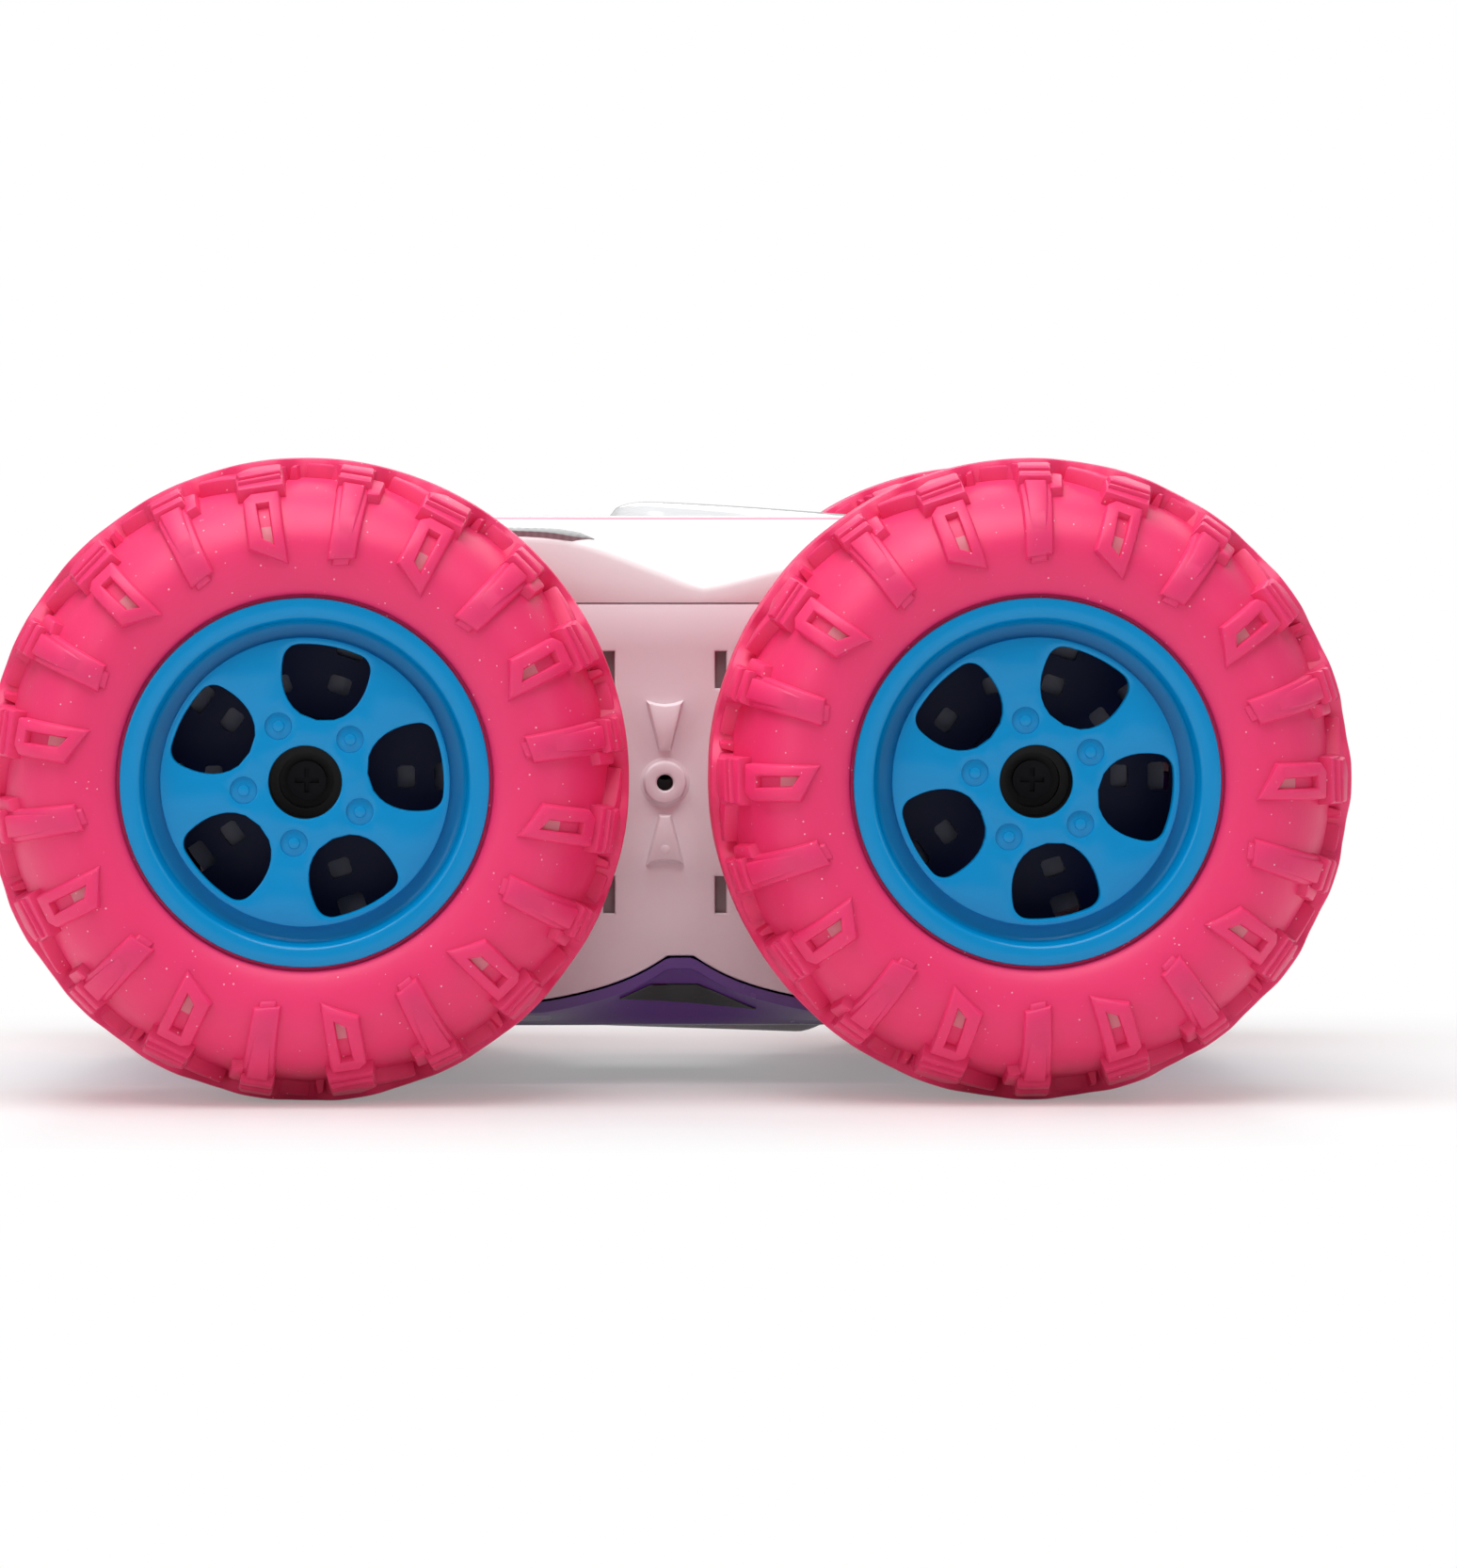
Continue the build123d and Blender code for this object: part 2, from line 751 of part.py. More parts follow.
def motor():
    """A small flat-sided can motor with its bearing boss and end cap."""
    back = tray_inner_face - motor_length
    flats = slab(Rectangle(4 * motor_radius, 2 * motor_half_flat), back - 1, tray_inner_face + 1)
    can = rod(motor_radius, back, tray_inner_face) & flats
    boss = rod(motor_boss_radius, tray_inner_face - bite, tray_inner_face + motor_boss_height)
    cap = rod(motor_boss_radius, back - end_cap_height, back + bite)
    tab = bar(
        tab_reach - tab_half_thickness,
        tab_reach + tab_half_thickness,
        -tab_half_width,
        tab_half_width,
        back - tab_height,
        back + bite,
    )
    body = can + boss + cap + tab + mirror(tab, Plane.YZ)
    return body - rod(motor_shaft_radius + running, back - 3, tray_inner_face + 3)


def motor_shaft():
    """The steel shaft that runs through the motor and carries its pinion."""
    return rod(motor_shaft_radius, tray_inner_face - motor_length - shaft_tail, reduction_end + shaft_lead)


# Shells


def body_profile(inset=0.0):
    """The body's outline seen from the side, inset evenly."""
    z = axle_height
    nose = body_half_length
    corner = nose - end_corner_inset
    points = []
    for way_x, way_z in ((1, 1), (1, -1), (-1, -1), (-1, 1)):
        run = [
            (way_x * roof_half_length, z + way_z * body_half_height),
            (way_x * corner, z + way_z * end_corner_rise),
            (way_x * nose, z + way_z * end_high),
        ]
        points += run if way_x * way_z > 0 else list(reversed(run))
    face = make_face(Polyline(*points, close=True))
    face = fillet(face.vertices(), body_corner)
    return offset(face, -inset) if inset else face


def body_section(inset=0.0):
    """The body's outline seen from the end, with its sloping shoulders."""
    z = axle_height
    shoulder = body_half_height - shoulder_drop
    points = []
    for way_y, way_z in ((1, 1), (1, -1), (-1, -1), (-1, 1)):
        run = [
            (way_y * top_half_width, z + way_z * body_half_height),
            (way_y * body_half_width, z + way_z * shoulder),
        ]
        points += run if way_y * way_z > 0 else list(reversed(run))
    face = make_face(Polyline(*points, close=True))
    face = fillet(face.vertices(), shoulder_corner)
    return offset(face, -inset) if inset else face


def body_block(inset=0.0):
    """The body's outer shape, inset evenly."""
    along = Plane(origin=(0, 100, 0), x_dir=(1, 0, 0), z_dir=(0, -1, 0)).location * body_profile(inset)
    across = Plane(origin=(-150, 0, 0), x_dir=(0, 1, 0), z_dir=(1, 0, 0)).location * body_section(inset)
    return extrude(along, 200, dir=(0, -1, 0)) & extrude(across, 300, dir=(1, 0, 0))


def panel_openings():
    """The room that the two side panels take out of the shells' sides."""
    cutter = outboard(slab(panel_outline(seam), panel_inner - panel_room, panel_outer + 5))
    return cutter + other_side(cutter)


def half_shell(way):
    """The upper or lower half of the hollow body."""
    shell = body_block() - body_block(shell_wall)
    keep = bar(-200, 200, -100, 100, split_height + seam / 2, 200)
    if way < 0:
        keep = bar(-200, 200, -100, 100, -50, split_height - seam / 2)
    return (shell & keep) - panel_openings()


def shell_posts():
    """Where the four screws join the shells."""
    return [(x, y) for x in (-post_place_x, post_place_x) for y in (-post_place_y, post_place_y)]


def upper_shell():
    """The white upper shell with the posts that the body screws bite into."""
    shell = half_shell(1)
    for x, y in shell_posts():
        post = upright(shell_post_radius, split_height + seam / 2, body_top - 1, x, y)
        pilot = upright(shell_screw_radius + push, split_height - 1, split_height + shell_pilot_depth, x, y)
        shell = shell + post - pilot
    return shell


def lower_shell():
    """The purple lower shell with its posts, battery box, door opening and switch slot."""
    shell = half_shell(-1)
    head_room = shell_screw_head_radius + 0.4
    for x, y in shell_posts():
        shell += upright(shell_post_radius, body_bottom + 1, split_height - seam / 2, x, y)
        shell -= upright(shell_screw_radius + loose, 0, split_height + 1, x, y)
        shell -= upright(head_room, 0, shell_screw_seat, x, y)
    half_x = battery_length / 2 + battery_play
    half_y = battery_width / 2 + battery_play
    wall_x = half_x + box_wall
    wall_y = half_y + box_wall
    walls = bar(-wall_x, wall_x, -wall_y, wall_y, floor_top - 1, battery_top)
    shell += walls - bar(-half_x, half_x, -half_y, half_y, 0, battery_top + 1)
    shell -= bar(-half_x, half_x, -half_y, half_y, 0, floor_top + 1)
    door_x = door_half_length + loose
    door_y = door_half_width + loose
    shell -= bar(-door_x, door_x, -door_y, door_y, 0, floor_top - door_ledge)
    slot_half = (knob_length + knob_travel) / 2 + loose
    slot_middle = switch_place + knob_travel / 2
    slot_side = knob_width / 2 + loose
    shell -= bar(slot_middle - slot_half, slot_middle + slot_half, -slot_side, slot_side, 0, floor_top + 1)
    for way in (-1, 1):
        cutter = lower_window(window_low_seat)
        shell -= cutter if way < 0 else other_side(cutter)
    return shell


def lower_window(grow=0.0):
    """The black window in the sloping skirt below a side panel."""
    slope = degrees(atan((body_half_width - top_half_width) / shoulder_drop))
    centre_y = -(body_half_width + top_half_width) / 2
    centre_z = body_bottom + shoulder_drop / 2
    run = hypot(body_half_width - top_half_width, shoulder_drop)
    pane = Box(
        2 * window_low_half_length + 2 * grow,
        window_low_thickness + grow,
        min(window_low_height, run - window_low_margin) + 2 * grow,
        align=(Align.CENTER, Align.MIN, Align.CENTER),
    )
    return Pos(panel_peak_place, centre_y, centre_z) * (Rot(slope, 0, 0) * pane)


def shell_screws():
    """The four long-reach screws, driven from below."""
    group = []
    seat = shell_screw_seat
    for x, y in shell_posts():
        shank = upright(shell_screw_radius, seat - bite, split_height + shell_screw_bite, x, y)
        head = upright(shell_screw_head_radius, seat - shell_screw_head_height, seat, x, y)
        group.append(shank + head)
    return group


def upper_canopy():
    """The cockpit hump on the roof, steep at one end and long at the other."""
    outline = make_face(
        Polyline(
            (canopy_foot, body_top),
            (canopy_peak, body_top + canopy_height),
            (canopy_peak + canopy_flat, body_top + canopy_height),
            (canopy_tail, body_top),
            close=True,
        )
    )
    along = Plane(origin=(0, canopy_half_width, 0), x_dir=(1, 0, 0), z_dir=(0, -1, 0)).location * outline
    return extrude(along, 2 * canopy_half_width, dir=(0, -1, 0))


def battery_door():
    """The grey door under the battery, with a shallow hump like the cockpit's."""
    plate = bar(
        -door_half_length,
        door_half_length,
        -door_half_width,
        door_half_width,
        body_bottom,
        floor_top - door_ledge,
    )
    foot = door_half_length - door_hump_start
    crest = door_half_length - door_hump_top
    outline = make_face(
        Polyline(
            (-foot, body_bottom + bite),
            (-crest, body_bottom - door_bulge),
            (crest, body_bottom - door_bulge),
            (foot, body_bottom + bite),
            close=True,
        )
    )
    side = door_half_width - door_hump_side
    along = Plane(origin=(0, side, 0), x_dir=(1, 0, 0), z_dir=(0, -1, 0)).location * outline
    return plate + extrude(along, 2 * side, dir=(0, -1, 0))


# Inside the body


def deck():
    """The shelf that closes the battery box and carries the circuit board."""
    half_width = tray_inner_face - seam
    plate = bar(-deck_half_length, deck_half_length, -half_width, half_width, deck_bottom, deck_top)
    for x, y in shell_posts():
        plate -= upright(shell_post_radius + seam, deck_bottom - 1, deck_top + 1, x, y)
    for x, y in standoffs():
        plate += upright(standoff_radius, deck_top - bite, board_bottom, x, y)
    lead_gap = bar(
        -battery_length / 2 - lead_gap_far,
        -battery_length / 2 - lead_gap_near,
        -lead_gap_half_width,
        lead_gap_half_width,
        deck_bottom - 1,
        deck_top + 1,
    )
    return plate - lead_gap


def standoffs():
    """Where the four posts stand that carry the circuit board."""
    half_x = board_length / 2 - standoff_inset
    half_y = board_width / 2 - standoff_inset
    return [(x, y) for x in (-half_x, half_x) for y in (-half_y, half_y)]


def battery_pack():
    """Two round cells side by side in a shrink sleeve."""
    cell = battery_height / 2
    spread = battery_width / 2 - cell
    middle = battery_bottom + cell
    end = Plane(origin=(-battery_length / 2, 0, middle), x_dir=(0, 1, 0), z_dir=(1, 0, 0))
    outline = Pos(-spread, 0) * Circle(cell) + Pos(spread, 0) * Circle(cell)
    outline += Rectangle(2 * spread, battery_height * cell_web_share)
    return extrude(end.location * outline, battery_length, dir=(1, 0, 0))


def battery_pads():
    """The two foam pads between the battery and its door."""
    low = floor_top - door_ledge
    half = battery_width / 2 - pad_inset
    pads = []
    for way in (-1, 1):
        centre = way * (battery_length / 2 - pad_from_end)
        ends = (centre - pad_half_length, centre + pad_half_length)
        pads.append(bar(*ends, -half, half, low, battery_bottom))
    return pads


def circuit_board():
    """The receiver board with its chips, coils and sockets."""
    half_x = board_length / 2
    half_y = board_width / 2
    top = board_bottom + board_thickness
    board = bar(-half_x, half_x, -half_y, half_y, board_bottom, top)
    for x0, x1, y0, y1, height in (main_chip, small_chip):
        board += bar(x0, x1, y0, y1, top - bite, top + height)
    socket = bar(
        socket_x - socket_length / 2,
        socket_x + socket_length / 2,
        socket_y - socket_width / 2,
        socket_y + socket_width / 2,
        top - bite,
        top + socket_height,
    )
    board += socket + other_side(socket)
    return board + upright(coil_radius, top - bite, top + coil_height, coil_x, coil_y)


def lead(points):
    """An insulated wire along straight runs and round bends."""
    path = FilletPolyline(*points, radius=[lead_bend] * (len(points) - 2))
    start = Plane(origin=path @ 0, z_dir=path % 0)
    return sweep(start.location * Circle(lead_radius), path)


def motor_leads():
    """A red and a black lead from the board to each motor."""
    low = board_bottom + board_thickness + socket_height
    tab_end = motor_length - tray_inner_face + tab_height
    near = []
    for way in (-1, 1):
        tab_x = motor_x + way * tab_reach
        start_x = socket_x + way * lead_spread
        run = [
            (start_x, socket_y, low),
            (start_x, socket_y, low + lead_rise),
            (tab_x, tab_end + lead_turn_out, motor_z - lead_drop),
            (tab_x, tab_end + lead_radius, motor_z),
        ]
        near.append(lead(run))
    return near


def switch_body():
    """The slide switch's housing, open below for the knob."""
    low = floor_top + switch_seat
    middle = switch_place + knob_travel / 2
    body = bar(
        middle - switch_length / 2,
        middle + switch_length / 2,
        -switch_width / 2,
        switch_width / 2,
        low,
        low + switch_height,
    )
    room = (knob_length + knob_travel) / 2 + loose
    side = knob_width / 2 + loose
    roof = low + switch_height - switch_roof
    return body - bar(middle - room, middle + room, -side, side, low - 1, roof)


def switch_knob():
    """The knob that slides along the car's underside."""
    top = floor_top + switch_seat + switch_height - switch_roof - loose
    half = knob_length / 2
    return bar(
        switch_place - half,
        switch_place + half,
        -knob_width / 2,
        knob_width / 2,
        body_bottom - knob_reach,
        top,
    )


def both_sides(parts):
    """Side-frame parts in place on the right-hand side, and their twins on the left."""
    near = [outboard(part) for part in parts]
    return near + [other_side(part) for part in near]


def write(name, part):
    """Writes one node. A list of parts becomes one node of separate solids."""
    shape = Compound(children=part) if isinstance(part, list) else part
    export_step(shape, os.path.join("parts", name + ".step"))


def write_pair(name, part):
    """Writes a side-frame part for the right-hand side and its twin for the left."""
    if isinstance(part, list):
        near = [outboard(p) for p in part]
        write(name + "_right", near)
        write(name + "_left", [other_side(p) for p in near])
        return
    near = outboard(part)
    write(name + "_right", near)
    write(name + "_left", other_side(near))


def write_corners(name, front, rear, reach=half_base):
    """Writes a piece four times, from the side frame of the two right-hand ones."""
    for part, x, own, opposite in (
        (front, reach, "front_right", "rear_left"),
        (rear, -reach, "rear_right", "front_left"),
    ):
        near = outboard(part, x, axle_height)
        write(name + "_" + own, near)
        write(name + "_" + opposite, other_side(near))


def main():
    os.makedirs("parts", exist_ok=True)
    at_wheel = Pos(0, 0, wheel_middle)
    one_tyre = tyre()
    write_corners("tyre", at_wheel * one_tyre, at_wheel * (Rot(0, 0, tyre_turn) * one_tyre))
    front_rim = rim_outer(nut_phase - nut_turn_step)
    write_corners("rim_outer", at_wheel * front_rim, at_wheel * rim_outer(nut_phase))
    write_corners("rim_inner", at_wheel * rim_inner(), at_wheel * rim_inner())
    write_corners("axle", axle(), axle())
    write_corners("wheel_screw", wheel_screw(), wheel_screw())

    phases = train_phases()
    axle_bore = axle_radius + push
    write_corners("axle_gear", train_gear(phases[0], axle_bore), train_gear(phases[4], axle_bore))
    pin_bore = pin_radius + running
    front_idler = train_gear(phases[1], pin_bore)
    rear_idler = train_gear(phases[3], pin_bore)
    write_corners("idler_gear", front_idler, rear_idler, gear_pitch)
    centre_bore = centre_pin_radius + running
    write_pair("centre_gear", Pos(0, axle_height, 0) * train_gear(phases[2], centre_bore))

    small_phase = next_phase(reduction_bearing, phases[1], train_teeth, reduction_teeth)
    pinion_phase = next_phase(0, 0, reduction_wheel_teeth, motor_pinion_teeth)
    write_pair("reduction_gear", Pos(reduction_x, reduction_z, 0) * reduction_gear(small_phase, 0))
    write_pair("motor_pinion", Pos(motor_x, motor_z, 0) * motor_pinion(pinion_phase))
    write_pair("motor_shaft", Pos(motor_x, motor_z, 0) * motor_shaft())
    write_pair("motor", Pos(motor_x, motor_z, 0) * motor())

    write_pair("gearbox_tray", tray())
    write_pair("side_panel", side_panel())
    write_pair("axle_bushes", bushes())
    write("gear_pins", both_sides(gear_pins()))
    write("case_screws", both_sides(case_screws()))

    write("upper_shell", upper_shell())
    write("lower_shell", lower_shell())
    window = lower_window()
    write("skirt_windows", [window, other_side(window)])
    write("upper_canopy", upper_canopy())
    write("battery_door", battery_door())
    write("body_screws", shell_screws())
    write("deck", deck())
    write("battery_pack", battery_pack())
    write("battery_pads", battery_pads())
    write("circuit_board", circuit_board())
    near_leads = motor_leads()
    write("motor_leads", near_leads + [other_side(p) for p in near_leads])
    write("switch_body", switch_body())
    write("switch_knob", switch_knob())


main()
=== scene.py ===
import math
import bmesh
import bpy
from mathutils import Matrix, Vector


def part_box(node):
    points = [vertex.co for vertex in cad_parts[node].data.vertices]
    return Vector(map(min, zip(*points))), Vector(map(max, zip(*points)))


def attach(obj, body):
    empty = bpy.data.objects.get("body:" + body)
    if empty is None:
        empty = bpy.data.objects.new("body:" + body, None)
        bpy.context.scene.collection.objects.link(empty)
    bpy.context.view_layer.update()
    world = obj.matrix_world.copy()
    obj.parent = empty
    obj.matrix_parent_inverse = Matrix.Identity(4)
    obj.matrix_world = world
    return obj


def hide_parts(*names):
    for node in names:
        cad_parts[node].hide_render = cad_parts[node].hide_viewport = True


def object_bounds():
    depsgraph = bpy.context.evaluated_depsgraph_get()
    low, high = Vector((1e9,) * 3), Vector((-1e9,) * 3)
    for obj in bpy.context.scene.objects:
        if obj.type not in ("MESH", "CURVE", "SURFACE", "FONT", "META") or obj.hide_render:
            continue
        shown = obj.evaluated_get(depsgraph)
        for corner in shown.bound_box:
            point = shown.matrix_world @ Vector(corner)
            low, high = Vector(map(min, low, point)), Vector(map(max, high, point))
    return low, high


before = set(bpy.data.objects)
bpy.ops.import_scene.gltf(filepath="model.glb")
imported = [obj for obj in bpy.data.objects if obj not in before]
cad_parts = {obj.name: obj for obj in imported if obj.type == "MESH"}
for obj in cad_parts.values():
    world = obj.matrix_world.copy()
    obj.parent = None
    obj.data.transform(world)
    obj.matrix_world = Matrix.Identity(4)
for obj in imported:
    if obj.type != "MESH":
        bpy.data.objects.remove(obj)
cad_low, cad_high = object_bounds()
mm = 0.001


# ---- The studio: a pale sweep, four soft boxes and the camera beside the car ---------------------
# The car stands on a smooth white table. The lamps are large and soft, above and to both sides, at
# a plain level. The camera is level with the axles, about a metre off, with a long lens.
axle_height = (cad_high.z - cad_low.z) / 2
near_tyre_middle = sum(corner.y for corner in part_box("tyre_rear_right")) / 2

scene = bpy.context.scene
scene.view_settings.view_transform = "Standard"


def studio_camera():
    """The camera, aimed at a point in the near tyres' middle plane."""
    distance = 1.056
    place = Vector((-0.0243, near_tyre_middle - distance, 0.0828))
    target = Vector((0.0090, near_tyre_middle, 0.0471))
    data = bpy.data.cameras.new("studio_camera")
    data.lens = 161.6
    data.sensor_width = 36
    camera = bpy.data.objects.new("studio_camera", data)
    scene.collection.objects.link(camera)
    camera.location = place
    camera.rotation_mode = "QUATERNION"
    camera.rotation_quaternion = (target - place).to_track_quat("-Z", "Y")
    scene.camera = camera


def soft_box(name, place, width, height, watts):
    """A rectangular lamp that looks at the car."""
    data = bpy.data.lights.new(name, "AREA")
    data.shape = "RECTANGLE"
    data.size = width
    data.size_y = height
    data.energy = watts
    lamp = bpy.data.objects.new(name, data)
    scene.collection.objects.link(lamp)
    lamp.location = place
    lamp.rotation_mode = "QUATERNION"
    lamp.rotation_quaternion = (Vector((0, 0, 0.05)) - Vector(place)).to_track_quat("-Z", "Y")


class Wire:
    """One value in a material, which can be added, multiplied and compared like a number."""

    def __init__(self, finish, socket):
        self.finish = finish
        self.socket = socket

    def math(self, operation, *others):
        node = self.finish.tree.nodes.new("ShaderNodeMath")
        node.operation = operation
        for place, value in zip(node.inputs, (self, *others)):
            self.finish.put(place, value)
        return Wire(self.finish, node.outputs[0])

    def __add__(self, other):
        return self.math("ADD", other)

    __radd__ = __add__

    def __sub__(self, other):
        return self.math("SUBTRACT", other)

    def __mul__(self, other):
        return self.math("MULTIPLY", other)

    __rmul__ = __mul__

    def __truediv__(self, other):
        return self.math("DIVIDE", other)

    def __gt__(self, other):
        return self.math("GREATER_THAN", other)

    def __lt__(self, other):
        return self.math("LESS_THAN", other)

    def clamped(self):
        return self.math("MINIMUM", 1.0).math("MAXIMUM", 0.0)


class Finish:
    """A material, built from one Principled shader and the nodes that feed it."""

    def __init__(self, name, **fixed):
        self.material = bpy.data.materials.new(name)
        self.material.use_nodes = True
        self.tree = self.material.node_tree
        self.tree.nodes.clear()
        self.output = self.tree.nodes.new("ShaderNodeOutputMaterial")
        self.shader = self.tree.nodes.new("ShaderNodeBsdfPrincipled")
        self.tree.links.new(self.shader.outputs[0], self.output.inputs[0])
        for key, value in fixed.items():
            self.shader.inputs[key.replace("_", " ")].default_value = value
        self.place = self.node("ShaderNodeTexCoord").out("Object")

    def put(self, socket, value):
        if isinstance(value, Wire):
            self.tree.links.new(value.socket, socket)
        else:
            socket.default_value = value

    def node(self, kind, settings=None, **inputs):
        made = self.tree.nodes.new(kind)
        for key, value in (settings or {}).items():
            setattr(made, key, value)
        for key, value in inputs.items():
            self.put(made.inputs[key.replace("_", " ")], value)
        return Node(self, made)

    def noise(self, scale, detail=2.0, roughness=0.5, vector=None):
        values = {"Scale": scale, "Detail": detail, "Roughness": roughness}
        return self.node("ShaderNodeTexNoise", Vector=vector or self.place, **values).out(0)

    def mix(self, amount, first, second):
        made = self.node("ShaderNodeMix", {"data_type": "RGBA"})
        for place, value in ((0, amount), (6, first), (7, second)):
            self.put(made.raw.inputs[place], value)
        return made.out(2)

    def bump(self, height, strength, distance):
        made = self.node("ShaderNodeBump", Height=height, Strength=strength, Distance=distance)
        self.put(self.shader.inputs["Normal"], made.out(0))

    def colour(self, value):
        self.put(self.shader.inputs["Base Color"], value)

    def roughness(self, value):
        self.put(self.shader.inputs["Roughness"], value)


class Node:
    """A node whose outputs are read by name or number."""

    def __init__(self, finish, node):
        self.finish = finish
        self.raw = node

    def out(self, name):
        return Wire(self.finish, self.raw.outputs[name])


def table_finish():
    """White laminate that keeps the car's shadow near it, lightened by a painted glow, and turns plain white
    further off.
    """
    finish = Finish("white_table", Roughness=0.32)
    grain = finish.noise(9.0, 3.0)
    finish.colour(finish.mix(grain * 0.4, (0.90, 0.90, 0.90, 1), (0.87, 0.87, 0.875, 1)))
    glow = finish.node("ShaderNodeEmission", Strength=1.0)
    mix = finish.node("ShaderNodeMixShader")
    split = finish.node("ShaderNodeSeparateXYZ", Vector=finish.place)
    across, along = split.out("X"), split.out("Y")
    reach = (across * across * 0.55 + along * along * 1.6).math("SQRT")
    # Near the car a quarter of plain white glow is still mixed in for the camera: a painted glow that lightens
    # the car's shadow.
    far = ((reach - 0.10) / 0.10).math("MAXIMUM", 0.26).clamped()
    rays = finish.node("ShaderNodeLightPath")
    seen = rays.out("Is Camera Ray").math("MAXIMUM", rays.out("Is Glossy Ray"))
    layers = (far * seen, Wire(finish, finish.shader.outputs[0]), glow.out(0))
    for place, layer in zip(mix.raw.inputs, layers):
        finish.put(place, layer)
    finish.put(finish.output.inputs[0], mix.out(0))
    return finish.material


def table_top():
    """A wide flat sweep under the car."""
    half = 6.0
    mesh = bpy.data.meshes.new("white_table")
    corners = [(-half, -half, 0), (half, -half, 0), (half, half, 0), (-half, half, 0)]
    mesh.from_pydata(corners, [], [(0, 1, 2, 3)])
    table = bpy.data.objects.new("white_table", mesh)
    scene.collection.objects.link(table)
    table.data.materials.append(table_finish())


def studio_sky():
    """An even white room: plain white to the camera, softer as a lamp."""
    world = bpy.data.worlds.new("white_room")
    scene.world = world
    world.use_nodes = True
    tree = world.node_tree
    tree.nodes.clear()
    kinds = ("OutputWorld", "LightPath", "Math", "MixShader", "Background", "Background")
    output, rays, seen, mix, soft, plain = (tree.nodes.new("ShaderNode" + kind) for kind in kinds)
    seen.operation = "MAXIMUM"
    plain.inputs["Color"].default_value = (1, 1, 1, 1)
    soft.inputs["Color"].default_value = (1.0, 0.99, 0.98, 1)
    soft.inputs["Strength"].default_value = 0.30
    for start, end in (
        (rays.outputs["Is Camera Ray"], seen.inputs[0]),
        (rays.outputs["Is Transmission Ray"], seen.inputs[1]),
        (seen.outputs[0], mix.inputs[0]),
        (soft.outputs[0], mix.inputs[1]),
        (plain.outputs[0], mix.inputs[2]),
        (mix.outputs[0], output.inputs[0]),
    ):
        tree.links.new(start, end)


studio_camera()
table_top()
studio_sky()
soft_box("top_box", (-0.15, -0.25, 1.0), 1.1, 0.9, 13.0)
soft_box("left_box", (-1.0, -0.9, 0.55), 0.7, 0.7, 2.6)
soft_box("right_box", (1.1, -0.8, 0.5), 0.6, 0.7, 1.6)
soft_box("back_box", (0.2, 1.1, 0.7), 1.0, 0.6, 5.0)


# ---- Tyres ---------------------------------------------------------------------------------------
# Each tyre is a hollow balloon of soft pink vinyl with fine glitter in it, blow moulded with a rib
# round its crown. Window lugs and stepped bar lugs take turns down both sidewalls. Its two beads
# are trapped between the lips of the rim's halves.
tyre_radius = 48.0
tyre_half_width = 22.0
carcass_crown = 45.4
widest_radius = 34.5
bead_radius = 27.6
bead_place = 19.2
tyre_wall = 2.4
wheel_places = {
    "rear_right": (-1, -1, 26.6),
    "front_right": (1, -1, 0.0),
    "front_left": (1, 1, 26.6),
    "rear_left": (-1, 1, 0.0),
}


def meridian_table():
    """Points down the sidewall from crown to bead: distance along it, place, radius, normal."""
    shoulder = carcass_crown - widest_radius
    tuck = tyre_half_width - bead_place
    reach = widest_radius - bead_radius
    points = []
    for i in range(61):
        c, s = math.cos(math.pi / 2 * i / 60), math.sin(math.pi / 2 * i / 60)
        points.append((tyre_half_width * s, widest_radius + shoulder * c, s / tyre_half_width, c / shoulder))
    for i in range(1, 25):
        c, s = math.cos(math.pi / 2 * i / 24), math.sin(math.pi / 2 * i / 24)
        points.append((tyre_half_width - tuck * (1 - c), widest_radius - reach * s, c / tuck, -s / reach))
    rows = []
    run = 0.0
    for n, (place, radius, out, up) in enumerate(points):
        if n:
            run += math.hypot(place - points[n - 1][0], radius - points[n - 1][1])
        size = math.hypot(out, up)
        rows.append((run, place, radius, out / size, up / size))
    return rows


meridian = meridian_table()
bead_run = meridian[-1][0]


def on_meridian(run):
    """Place, radius and normal at a distance from the crown; negative on the other side."""
    side = -1 if run < 0 else 1
    run = min(abs(run), bead_run)
    high = next((n for n, row in enumerate(meridian) if row[0] > run), len(meridian) - 1)
    a, b = meridian[high - 1], meridian[high]
    f = (run - a[0]) / (b[0] - a[0])
    place, radius, out, up = (a[k] + (b[k] - a[k]) * f for k in (1, 2, 3, 4))
    return side * place, radius, side * out, up


def run_at_radius(radius):
    """How far down the sidewall a radius is met."""
    for a, b in zip(meridian, meridian[1:]):
        if b[2] <= radius:
            return a[0] + (b[0] - a[0]) * (a[2] - radius) / (a[2] - b[2])
    return bead_run


def on_tyre(run, along, height, turn):
    """A point on the tyre: down the sidewall, along the tread and above the carcass, in mm."""
    place, radius, out, up = on_meridian(run)
    angle = turn + along / radius
    lifted = radius + up * height
    return Vector((lifted * math.cos(angle), lifted * math.sin(angle), place + out * height))


def inset(outline, amount):
    """The outline moved inward by an amount, corner by corner."""
    count = len(outline)
    area = sum(
        outline[i][0] * outline[(i + 1) % count][1] - outline[(i + 1) % count][0] * outline[i][1]
        for i in range(count)
    )
    way = 1 if area > 0 else -1
    moved = []
    for i in range(count):
        before, here, after = outline[i - 1], outline[i], outline[(i + 1) % count]
        a = Vector((here[0] - before[0], here[1] - before[1])).normalized()
        b = Vector((after[0] - here[0], after[1] - here[1])).normalized()
        na, nb = Vector((-a.y, a.x)) * way, Vector((-b.y, b.x)) * way
        lean = (na + nb).normalized()
        reach = amount / max(lean.dot(na), 0.45)
        moved.append((here[0] + lean.x * reach, here[1] + lean.y * reach))
    return moved


def ring_of(bm, outline, height):
    return [bm.verts.new((x, y, height)) for x, y in outline]


def wall_between(bm, low, high):
    for i in range(len(low)):
        j = (i + 1) % len(low)
        bm.faces.new((low[i], low[j], high[j], high[i]))


